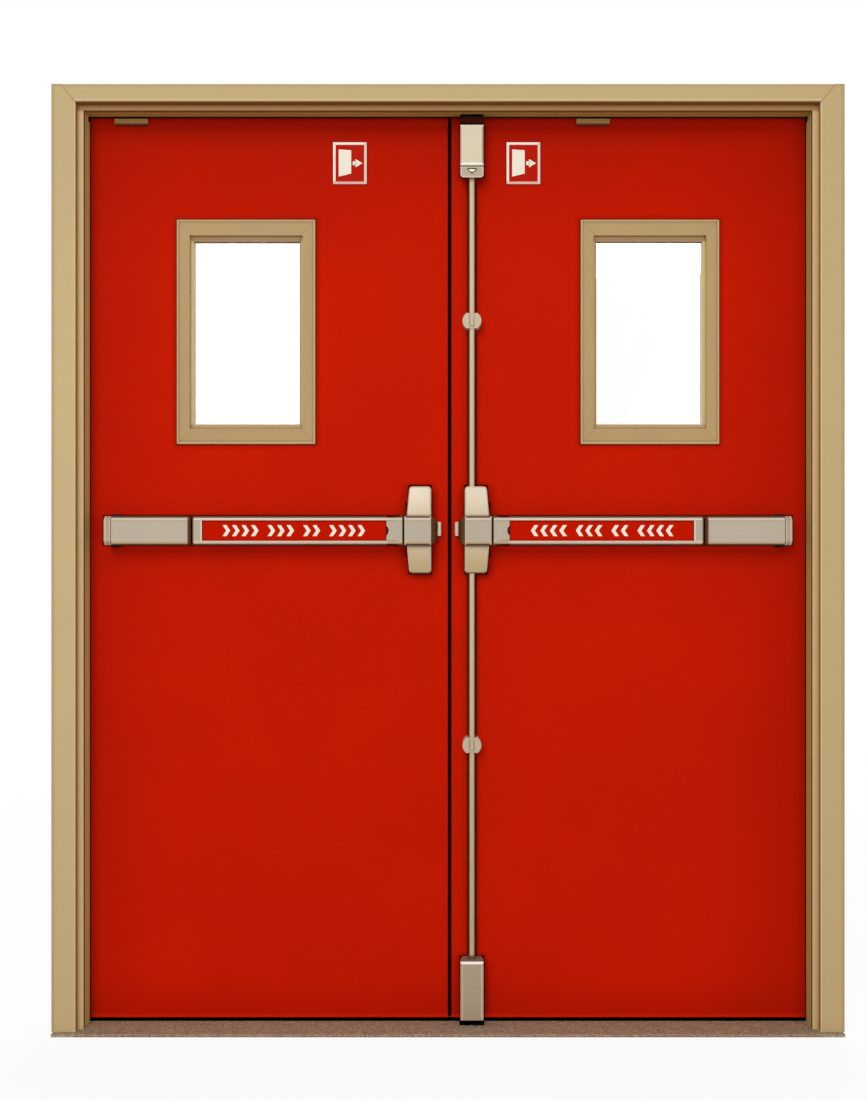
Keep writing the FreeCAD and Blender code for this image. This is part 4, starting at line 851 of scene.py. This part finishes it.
class Bench:
    """Shapes meshes with Blender's operators, as by hand."""

    @staticmethod
    def clear() -> None:
        """Leave edit mode and select nothing."""
        if bpy.context.object and bpy.context.object.mode != "OBJECT":
            bpy.ops.object.mode_set(mode="OBJECT")
        bpy.ops.object.select_all(action="DESELECT")

    @staticmethod
    def pick(piece: bpy.types.Object) -> None:
        """Select one piece alone and make it the active one."""
        Bench.clear()
        piece.select_set(True)
        bpy.context.view_layer.objects.active = piece

    @staticmethod
    def settle(piece: bpy.types.Object) -> bpy.types.Object:
        """Put a piece's place, turn and scale into its mesh, and return it."""
        Bench.pick(piece)
        bpy.ops.object.transform_apply(location=True, rotation=True, scale=True)
        return piece

    @staticmethod
    def named(name: str) -> bpy.types.Object:
        """Name the piece that was just added, and return it."""
        piece = bpy.context.object
        piece.name = name
        piece.data.name = name
        return piece

    @staticmethod
    def block(name: str, low: Point, high: Point) -> bpy.types.Object:
        """A block between two corners.

        Args:
            name: The piece's name.
            low: Its lowest corner.
            high: Its highest corner.

        Returns:
            The piece.
        """
        Bench.clear()
        middle = tuple((start + end) / 2 for start, end in zip(low, high))
        bpy.ops.mesh.primitive_cube_add(size=1, location=middle)
        piece = Bench.named(name)
        piece.scale = tuple(end - start for start, end in zip(low, high))
        return Bench.settle(piece)

    @staticmethod
    def faces(piece: bpy.types.Object, test: Callable[[bpy.types.MeshPolygon], bool]) -> None:
        """Enter edit mode with the faces selected that pass a test.

        Args:
            piece: The piece.
            test: Says whether a face is selected.
        """
        Bench.pick(piece)
        bpy.context.tool_settings.mesh_select_mode = (False, False, True)
        mesh = piece.data
        for part in (*mesh.vertices, *mesh.edges):
            part.select = False
        for face in mesh.polygons:
            face.select = test(face)
        bpy.ops.object.mode_set(mode="EDIT")

    @staticmethod
    def edges(piece: bpy.types.Object, test: Callable[[Vector, Vector], bool]) -> None:
        """Enter edit mode with the edges selected whose two ends pass a test.

        Args:
            piece: The piece.
            test: Says of an edge's two ends whether it is selected.
        """
        Bench.pick(piece)
        bpy.context.tool_settings.mesh_select_mode = (False, True, False)
        mesh = piece.data
        for part in (*mesh.vertices, *mesh.polygons):
            part.select = False
        for edge in mesh.edges:
            ends = [mesh.vertices[number].co for number in edge.vertices]
            edge.select = test(*ends)
        bpy.ops.object.mode_set(mode="EDIT")

    @staticmethod
    def ease(piece: bpy.types.Object, width: float, steps: int = 2,
             test: Callable[[Vector, Vector], bool] = lambda start, end: True) -> bpy.types.Object:
        """Round the edges of a piece.

        Args:
            piece: The piece.
            width: How much of each side the rounding takes.
            steps: How many faces it has.
            test: Says of an edge's two ends whether it is rounded.

        Returns:
            The piece.
        """
        Bench.edges(piece, test)
        bpy.ops.mesh.bevel(offset=width, segments=steps, affect="EDGES", clamp_overlap=True)
        bpy.ops.object.mode_set(mode="OBJECT")
        return piece

    @staticmethod
    def ring(name: str, low: Point, high: Point, rim: float) -> bpy.types.Object:
        """A rectangular ring that stands upright and is open from front to back.

        Args:
            name: The piece's name.
            low: Its lowest corner.
            high: Its highest corner.
            rim: How wide each of its four sides is.

        Returns:
            The piece.
        """
        piece = Bench.block(name, low, high)
        Bench.faces(piece, lambda face: abs(face.normal.y) > 0.5)
        bpy.ops.mesh.inset(thickness=rim, use_even_offset=True, use_individual=True)
        bpy.ops.mesh.bridge_edge_loops()
        bpy.ops.object.mode_set(mode="OBJECT")
        return piece

    @staticmethod
    def joined(name: str, pieces: list[bpy.types.Object]) -> bpy.types.Object:
        """Join pieces into one object.

        Args:
            name: The joined piece's name.
            pieces: The pieces.

        Returns:
            The joined piece.
        """
        Bench.pick(pieces[0])
        for piece in pieces:
            piece.select_set(True)
        if len(pieces) > 1:
            bpy.ops.object.join()
        return Bench.named(name)

    @staticmethod
    def spread(name: str, piece: bpy.types.Object, places: Iterable[Point],
               turn: float = 0.0) -> bpy.types.Object:
        """Copy a piece to many places and join the copies, each with its own mesh.

        Args:
            name: The joined piece's name.
            piece: The piece, shaped at the origin and kept as it is.
            places: Where the copies go.
            turn: How far each is turned about the upright axis, in radians.

        Returns:
            The joined copies.
        """
        copies = []
        for place in places:
            Bench.pick(piece)
            bpy.ops.object.duplicate(linked=False)
            copy = bpy.context.object
            copy.location = place
            copy.rotation_euler = (0.0, 0.0, turn)
            copies.append(Bench.settle(copy))
        return Bench.joined(name, copies)

    @staticmethod
    def smooth(piece: bpy.types.Object, angle: float = 35.0) -> bpy.types.Object:
        """Shade a piece smoothly over edges that bend less than an angle in degrees."""
        Bench.pick(piece)
        bpy.ops.object.shade_smooth_by_angle(angle=math.radians(angle))
        return piece

    @staticmethod
    def discard(piece: bpy.types.Object) -> None:
        """Remove a piece that was only a pattern for copies."""
        bpy.data.objects.remove(piece, do_unlink=True)


@dataclass
class Screw:
    """A domed screw head with a cross recess, which looks towards the front."""

    radius: float = 3.6 * MM
    rise: float = 1.5 * MM
    recess_long: float = 3.6 * MM
    recess_wide: float = 1.0 * MM
    recess_deep: float = 0.9 * MM

    def shape(self) -> bpy.types.Object:
        """Shape the head at the origin: its seat lies in the XZ plane and its dome points to -Y.

        Returns:
            The pattern for copies.
        """
        Bench.clear()
        bpy.ops.mesh.primitive_cylinder_add(vertices=24, radius=self.radius, depth=self.rise,
                                            location=(0.0, -self.rise / 2, 0.0), rotation=(math.pi / 2, 0.0, 0.0))
        head = Bench.settle(Bench.named("screw_pattern"))
        Bench.ease(head, self.rise * 0.6, 3,
                   lambda start, end: start.y < -self.rise * 0.9 and end.y < -self.rise * 0.9)
        for long, wide in ((self.recess_long, self.recess_wide), (self.recess_wide, self.recess_long)):
            cutter = Bench.block("recess", (-long / 2, -self.rise * 2, -wide / 2),
                                 (long / 2, -self.rise + self.recess_deep, wide / 2))
            Bench.pick(head)
            cut = head.modifiers.new("recess", "BOOLEAN")
            cut.operation = "DIFFERENCE"
            cut.solver = "EXACT"
            cut.object = cutter
            bpy.ops.object.modifier_apply(modifier=cut.name)
            Bench.discard(cutter)
        return Bench.smooth(head, 40.0)


# The door's sub-assemblies

@dataclass
class Assembly:
    """A part of the door that dresses its CAD nodes and adds its own pieces."""

    finishes: Finishes

    def dress(self, finish: str, *nodes: str) -> None:
        """Give CAD nodes a finish.

        Args:
            finish: The finish's name.
            *nodes: The nodes' names.
        """
        for node in nodes:
            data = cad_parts[node].data
            data.materials.clear()
            data.materials.append(self.finishes[finish])
            log.info("node %s takes %s", node, finish)

    def keep(self, piece: bpy.types.Object, finish: str, body: str, slot: str) -> bpy.types.Object:
        """Finish a new piece and let it ride on a body.

        Args:
            piece: The piece.
            finish: The name of its finish.
            body: The body that it moves with.
            slot: The record's material slot that it belongs to; not used.

        Returns:
            The piece.
        """
        piece.data.materials.clear()
        piece.data.materials.append(self.finishes[finish])
        Bench.clear()
        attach(piece, body)
        log.info("piece %s rides on %s", piece.name, body)
        return piece


@dataclass
class DoorFrame(Assembly):
    """Jambs, head, seals, tabs, strike, threshold and the hinges' fixed halves."""

    hinge_heights: tuple[float, ...] = (0.260, 1.075, 1.890)
    screw_rows: tuple[float, ...] = (-0.045, -0.015, 0.015, 0.045)
    plate_face: float = 0.8439
    plate_depths: Flat = (0.099, 0.112)

    def build(self) -> None:
        """Dress the frame and set the screws of its hinge plates."""
        self.dress("frame_paint", "left_jamb", "right_jamb", "frame_head")
        self.dress("black_rubber", "frame_seal")
        self.dress("tab_paint", "head_tabs")
        self.dress("strike_metal", "top_strike")
        self.dress("threshold_coat", "threshold")
        self.dress("hinge_steel", "left_frame_hinges", "right_frame_hinges")
        self._plate_screws()

    def _plate_screws(self) -> None:
        """Set flat screws in the fixed hinge plates."""
        pattern = Screw(radius=3.2 * MM, rise=0.4 * MM, recess_long=3.0 * MM, recess_wide=0.8 * MM,
                        recess_deep=0.3 * MM).shape()
        for side in Side:
            places = [(side.across(self.plate_face), self.plate_depths[number % 2], height + row)
                      for height in self.hinge_heights for number, row in enumerate(self.screw_rows)]
            screws = Bench.spread(f"{side.word}_frame_hinge_screws", pattern, places, side.value * -math.pi / 2)
            self.keep(screws, "screw_steel", "frame", "hinge_steel")
        Bench.discard(pattern)


@dataclass
class Leaf(Assembly):
    """One flush leaf with its hinge halves and the soft lip in the meeting gap."""

    side: Side = Side.LEFT
    lip_low: Point = (5.6 * MM, 83.4 * MM, 16.0 * MM)
    lip_high: Point = (7.49 * MM, 86.6 * MM, 2110.5 * MM)

    @property
    def body(self) -> str:
        """The body that the leaf's pieces ride on."""
        return f"{self.side.word}_leaf"

    def build(self) -> None:
        """Dress the leaf and shape its lip."""
        word = self.side.word
        self.dress("leaf_paint", f"{word}_leaf_panel")
        self.dress("hinge_steel", f"{word}_leaf_hinges")
        if self.side is Side.LEFT:
            self.dress("black_rubber", "meeting_seal")
            lip = Bench.block("meeting_lip", self.lip_low, self.lip_high)
            Bench.ease(lip, 0.7 * MM, 3, lambda start, end: min(start.x, end.x) > self.lip_high[0] - 0.1 * MM
                       and abs(start.y - end.y) < 0.1 * MM)
            self.keep(Bench.smooth(lip), "black_rubber", self.body, "rubber")


@dataclass
class VisionPanel(Assembly):
    """A leaf's vision panel: trims on both faces, glass, glazing seals and rear screws."""

    side: Side = Side.LEFT
    middle: Flat = (468.3 * MM, 1604.5 * MM)
    opening_half: Flat = (124.0 * MM, 214.0 * MM)
    seal_width: float = 2.2 * MM
    seal_front: Flat = (91.2 * MM, 94.45 * MM)
    seal_rear: Flat = (100.55 * MM, 103.8 * MM)
    screw_inset: float = 17.0 * MM
    outer_half: Flat = (161.0 * MM, 260.5 * MM)
    rear_face: float = 124.0 * MM

    def build(self) -> None:
        """Dress the panel, and shape its seals and screws."""
        word, body = self.side.word, f"{self.side.word}_leaf"
        self.dress("trim_paint", f"{word}_vision_trim")
        self.dress("clear_glass", f"{word}_vision_glass")
        for name, (near, far) in (("front", self.seal_front), ("rear", self.seal_rear)):
            ring = self._glazing_seal(f"{word}_glazing_seal_{name}", near, far)
            self.keep(ring, "glazing_tape", body, "rubber")
        self.keep(self._rear_screws(f"{word}_trim_screws"), "screw_steel", body, "trim_paint")

    def _glazing_seal(self, name: str, near: float, far: float) -> bpy.types.Object:
        """A thin ring of rubber between the bead and the glass.

        Args:
            name: The piece's name.
            near: Y of its front.
            far: Y of its back.

        Returns:
            The piece.
        """
        centre, half = self.side.across(self.middle[0]), self.opening_half
        ring = Bench.ring(name, (centre - half[0], near, self.middle[1] - half[1]),
                          (centre + half[0], far, self.middle[1] + half[1]), self.seal_width)
        return Bench.ease(ring, 0.4 * MM, 2)

    def _rear_screws(self, name: str) -> bpy.types.Object:
        """Eight screws round the rear trim.

        Args:
            name: The joined piece's name.

        Returns:
            The piece.
        """
        centre = self.side.across(self.middle[0])
        reach = tuple(half - self.screw_inset for half in self.outer_half)
        places = [(centre + reach[0] * across, self.rear_face, self.middle[1] + reach[1] * up)
                  for across in (-1, 1) for up in (-0.82, 0.0, 0.82)]
        places += [(centre, self.rear_face, self.middle[1] + reach[1] * up) for up in (-1, 1)]
        pattern = Screw().shape()
        screws = Bench.spread(name, pattern, places, math.pi)
        Bench.discard(pattern)
        return screws


@dataclass
class PushBar(Assembly):
    """One push bar with its centre case, brackets, latch bolt and marked strip."""

    side: Side = Side.LEFT
    middle: float = 1143.0 * MM
    strip_front: float = 15.2 * MM
    gasket_start: float = 587.3 * MM
    gasket_end: float = 592.1 * MM
    gasket_front: float = 18.0 * MM
    mark_start: float = 186.6 * MM
    mark_end: float = 515.8 * MM
    mark_tall: float = 25.0 * MM
    mark_stroke: float = 9.0 * MM
    mark_groups: tuple[int, ...] = (4, 3, 2, 4)
    group_gap: float = 0.75
    mark_fill: float = 0.80
    ink: float = 0.25 * MM

    def build(self) -> None:
        """Dress the bar and lay the marks on its strip."""
        word = self.side.word
        self.dress("device_paint", *(f"{word}_{name}" for name in (
            "bar_case", "bar_end_cap", "push_pad", "pad_flare", "block_cover")))
        self.dress("rail_paint", f"{word}_bar_rail")
        self.dress("case_paint", f"{word}_centre_case")
        self.dress("guide_metal", f"{word}_bar_brackets")
        self.dress("bolt_steel", f"{word}_latch_bolt")
        self.dress("red_strip", f"{word}_pad_strip")
        self.keep(self._marks(f"{word}_strip_marks"), "ink_white", f"{word}_pad", "red_strip")
        self.keep(self._gasket(f"{word}_case_gasket"), "brown_rubber", f"{word}_leaf", "rubber")

    def _gasket(self, name: str) -> bpy.types.Object:
        """A thin rubber plate on the open end of the case, clear of the pad that moves beside it.

        Args:
            name: The piece's name.

        Returns:
            The piece.
        """
        near, far = sorted((self.side.across(self.gasket_start), self.side.across(self.gasket_end)))
        piece = Bench.block(name, (near, self.gasket_front, 1112.6 * MM), (far, 36.5 * MM, 1173.4 * MM))
        return Bench.ease(piece, 1.3 * MM)

    def _marks(self, name: str) -> bpy.types.Object:
        """A row of plain chevrons along the strip, in groups.

        Args:
            name: The joined piece's name.

        Returns:
            The piece.
        """
        count = sum(self.mark_groups)
        gaps = len(self.mark_groups) - 1
        pitch = (self.mark_end - self.mark_start) / (count + gaps * self.group_gap)
        pattern = self._chevron(pitch * self.mark_fill)
        places, along = [], self.mark_start
        for group in self.mark_groups if self.side is Side.RIGHT else reversed(self.mark_groups):
            for _ in range(group):
                places.append((self.side.across(along + pitch / 2), self.strip_front, self.middle))
                along += pitch
            along += pitch * self.group_gap
        marks = Bench.spread(name, pattern, places)
        Bench.discard(pattern)
        return marks

    def _chevron(self, width: float) -> bpy.types.Object:
        """One chevron at the origin: an upright strip bent in its middle towards the meeting edge, with ink's depth.

        Args:
            width: Its width.

        Returns:
            The pattern for copies.
        """
        Bench.clear()
        bpy.ops.mesh.primitive_grid_add(x_subdivisions=1, y_subdivisions=2, size=1, rotation=(math.pi / 2, 0, 0))
        piece = Bench.named("chevron_pattern")
        piece.scale = (self.mark_stroke, self.mark_tall, 1.0)
        Bench.settle(piece)
        lean = -self.side.value * (width - self.mark_stroke)
        Bench.edges(piece, lambda start, end: abs(start.z) < 0.1 * MM and abs(end.z) < 0.1 * MM)
        bpy.ops.transform.translate(value=(lean, 0.0, 0.0))
        bpy.ops.mesh.select_all(action="SELECT")
        bpy.ops.transform.translate(value=(-lean / 2, 0.0, 0.0))
        bpy.ops.mesh.extrude_region_move(TRANSFORM_OT_translate={"value": (0.0, -self.ink, 0.0)})
        bpy.ops.mesh.select_all(action="SELECT")
        bpy.ops.mesh.normals_make_consistent(inside=False)
        bpy.ops.object.mode_set(mode="OBJECT")
        return piece


@dataclass
class RodLatch(Assembly):
    """The upright rods of the right leaf with their cases and guides."""

    def build(self) -> None:
        """Dress the rods, cases and guides."""
        self.dress("rod_paint", "upper_rod", "lower_rod")
        self.dress("top_case_paint", "top_latch_cover")
        self.dress("top_base_paint", "top_latch_base")
        self.dress("bottom_case_paint", "bottom_latch_case")
        self.dress("guide_paint", "rod_guides")


@dataclass
class Sign(Assembly):
    """A small sign plate with a pale border and a plain picture of an open door."""

    side: Side = Side.LEFT
    border: float = 5.8 * MM
    ink: float = 0.3 * MM
    leaf_box: tuple[float, float, float, float] = (-26.0, -24.0, 3.0, 30.0)
    lean: float = 7.0
    arrow_stem: tuple[float, float, float, float] = (6.5, -4.5, 14.0, 4.5)
    arrow_tip: float = 11.0

    def build(self) -> None:
        """Dress the plate, and lay its border and picture on it."""
        word = self.side.word
        body = f"{word}_leaf"
        self.dress("sign_red", f"{word}_sign_plate")
        low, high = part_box(f"{word}_sign_plate")
        border = Bench.ring(f"{word}_sign_border", (low.x, low.y - self.ink, low.z), (high.x, low.y, high.z),
                            self.border)
        self.keep(border, "sign_white", body, "sign_plate")
        self.keep(self._picture(f"{word}_sign_picture", low, high), "sign_white", body, "sign_plate")

    def _picture(self, name: str, low: Vector, high: Vector) -> bpy.types.Object:
        """An open door leaf and an arrow, cut from thin sheet.

        Args:
            name: The joined piece's name.
            low: The plate's lowest corner.
            high: The plate's highest corner.

        Returns:
            The piece.
        """
        centre = Vector(((low.x + high.x) / 2, low.y, (low.z + high.z) / 2))

        def sheet(part: str, box: tuple[float, float, float, float]) -> bpy.types.Object:
            """A thin block over a rectangle given in millimetres from the plate's centre."""
            return Bench.block(part, (centre.x + box[0] * MM, low.y - self.ink, centre.z + box[1] * MM),
                               (centre.x + box[2] * MM, low.y, centre.z + box[3] * MM))

        leaf = sheet("picture_leaf", self.leaf_box)
        edge = centre.x + self.leaf_box[0] * MM
        for level, shift in ((self.leaf_box[1], -self.lean), (self.leaf_box[3], self.lean * 0.3)):
            Bench.edges(leaf, lambda start, end, level=level: all(
                abs(point.x - edge) < 0.5 * MM and abs(point.z - centre.z - level * MM) < 0.5 * MM
                for point in (start, end)))
            bpy.ops.transform.translate(value=(0.0, 0.0, shift * MM))
            bpy.ops.object.mode_set(mode="OBJECT")
        stem = sheet("picture_stem", self.arrow_stem)
        Bench.clear()
        middle = (self.arrow_stem[1] + self.arrow_stem[3]) / 2
        bpy.ops.mesh.primitive_cylinder_add(
            vertices=3, radius=self.arrow_tip * MM, depth=self.ink, rotation=(math.pi / 2, 0.0, 0.0),
            location=(centre.x + (self.arrow_stem[2] + self.arrow_tip * 0.4) * MM, low.y - self.ink / 2,
                      centre.z + middle * MM))
        tip = Bench.settle(Bench.named("picture_tip"))
        Bench.faces(tip, lambda face: True)
        bpy.ops.transform.rotate(value=-math.pi / 2, orient_axis="Y", center_override=tuple(
            sum((vertex.co for vertex in tip.data.vertices), Vector()) / len(tip.data.vertices)))
        bpy.ops.object.mode_set(mode="OBJECT")
        return Bench.joined(name, [leaf, stem, tip])


# The room

@dataclass(frozen=True)
class Lamp:
    """A soft lamp that aims at a point."""

    name: str
    place: Point
    aim: Point
    size: float
    power: float
    colour: Point = (1.0, 1.0, 1.0)

    def build(self) -> None:
        """Hang the lamp."""
        Bench.clear()
        bpy.ops.object.light_add(type="AREA", location=self.place)
        lamp = bpy.context.object
        lamp.name = self.name
        lamp.data.shape = "DISK"
        lamp.data.size = self.size
        lamp.data.energy = self.power
        lamp.data.color = self.colour
        way = Vector(self.aim) - Vector(self.place)
        lamp.rotation_euler = way.to_track_quat("-Z", "Y").to_euler()


@dataclass(frozen=True)
class Studio:
    """Floor, even light and the camera."""

    floor_size: float = 40.0
    floor_colour: Colour = (0.62, 0.585, 0.53, 1.0)
    floor_white: float = 0.90
    white_from: Flat = (1.2, 5.0)
    room_light: float = 0.42
    camera_place: Point = (0.0, -3.125, 1.1034)
    focal_length: float = 45.1
    centre_pixel: Flat = (448.0, 548.0)
    lamps: tuple[Lamp, ...] = (
        Lamp("key_lamp", (-1.8, -8.0, 4.4), (0.0, 0.0, 1.0), 5.4, 425.0),
        Lamp("fill_lamp", (3.2, -7.0, 1.6), (0.0, 0.0, 1.0), 4.0, 75.0),
        Lamp("rear_lamp", (1.4, 7.0, 5.0), (0.0, 0.0, 1.1), 4.0, 260.0),
    )

    def build(self) -> None:
        """Set up the floor, the light and the camera."""
        self._floor()
        self._room()
        for lamp in self.lamps:
            lamp.build()
        self._camera()
        bpy.context.scene.view_settings.view_transform = "Standard"

    @staticmethod
    def _seen_rays(tree: bpy.types.NodeTree) -> bpy.types.NodeSocket:
        """A number that is 1 for rays that show the background: seen, mirrored or through glass.

        Args:
            tree: The node tree of the material or world.

        Returns:
            The number's output.
        """
        rays = tree.nodes.new("ShaderNodeLightPath")
        share = rays.outputs["Is Camera Ray"]
        for name in ("Is Glossy Ray", "Is Transmission Ray"):
            larger = tree.nodes.new("ShaderNodeMath")
            larger.operation = "MAXIMUM"
            tree.links.new(share, larger.inputs[0])
            tree.links.new(rays.outputs[name], larger.inputs[1])
            share = larger.outputs[0]
        return share

    def _floor(self) -> None:
        """Lay a plain pale floor that keeps the door's shadow."""
        Bench.clear()
        bpy.ops.mesh.primitive_plane_add(size=self.floor_size, location=(0.0, 0.0, -0.4 * MM))
        floor = Bench.settle(Bench.named("studio_floor"))
        palette = Palette("studio_floor")
        tree = palette.tree
        tone = palette.noise(0.8, 2.0)
        pale = tuple(level * 1.03 for level in self.floor_colour[:3]) + (1.0,)
        seen = self._seen_rays(tree)
        ground = palette.blend(tone, self.floor_colour, pale)
        palette.feed(palette.shader.inputs["Base Color"], palette.blend(seen, ground, (1.0, 1.0, 1.0, 1.0)))
        palette.shader.inputs["Roughness"].default_value = 0.9
        palette.shader.inputs["Specular IOR Level"].default_value = 0.0
        white = palette.add("ShaderNodeEmission")
        distance = palette.add("ShaderNodeVectorMath", operation="LENGTH")
        palette.feed(distance.inputs[0], palette.place)
        plain = palette.span(distance.outputs["Value"], *self.white_from, self.floor_white, 1.0)
        share = palette.math("MULTIPLY", seen, plain)
        mixed = palette.add("ShaderNodeMixShader")
        palette.feed(mixed.inputs[0], share)
        palette.feed(mixed.inputs[1], palette.shader.outputs[0])
        palette.feed(mixed.inputs[2], white.outputs[0])
        palette.feed(tree.nodes["Material Output"].inputs["Surface"], mixed.outputs[0])
        floor.data.materials.append(palette.material)

    def _room(self) -> None:
        """Fill the room with even light and show it as white."""
        world = bpy.data.worlds.new("studio_room")
        world.use_nodes = True
        bpy.context.scene.world = world
        tree = world.node_tree
        light = tree.nodes["Background"]
        light.inputs["Color"].default_value = (1.0, 1.0, 1.0, 1.0)
        light.inputs["Strength"].default_value = self.room_light
        seen = tree.nodes.new("ShaderNodeBackground")
        seen.inputs["Color"].default_value = (1.0, 1.0, 1.0, 1.0)
        mixed = tree.nodes.new("ShaderNodeMixShader")
        tree.links.new(self._seen_rays(tree), mixed.inputs[0])
        tree.links.new(light.outputs[0], mixed.inputs[1])
        tree.links.new(seen.outputs[0], mixed.inputs[2])
        tree.links.new(mixed.outputs[0], tree.nodes["World Output"].inputs["Surface"])

    def _camera(self) -> None:
        """Stand the camera where the door is seen as in the picture."""
        Bench.clear()
        bpy.ops.object.camera_add(location=self.camera_place, rotation=(math.pi / 2, 0.0, 0.0))
        camera = bpy.context.object
        camera.name = "studio_camera"
        camera.data.lens = self.focal_length
        camera.data.sensor_width = 36.0
        camera.data.shift_x = (IMAGE_WIDTH / 2 - self.centre_pixel[0]) / IMAGE_HEIGHT
        camera.data.shift_y = (self.centre_pixel[1] - IMAGE_HEIGHT / 2) / IMAGE_HEIGHT
        bpy.context.scene.camera = camera


def main() -> None:
    """Build the door's looks in order."""
    logging.basicConfig(level=logging.INFO, format="%(name)s: %(message)s")
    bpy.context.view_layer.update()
    Bench.clear()
    finishes = Finishes(coats())
    DoorFrame(finishes).build()
    for side in Side:
        Leaf(finishes, side).build()
        VisionPanel(finishes, side).build()
        PushBar(finishes, side).build()
        Sign(finishes, side).build()
    RodLatch(finishes).build()
    Studio().build()


if __name__ == "__main__":
    main()
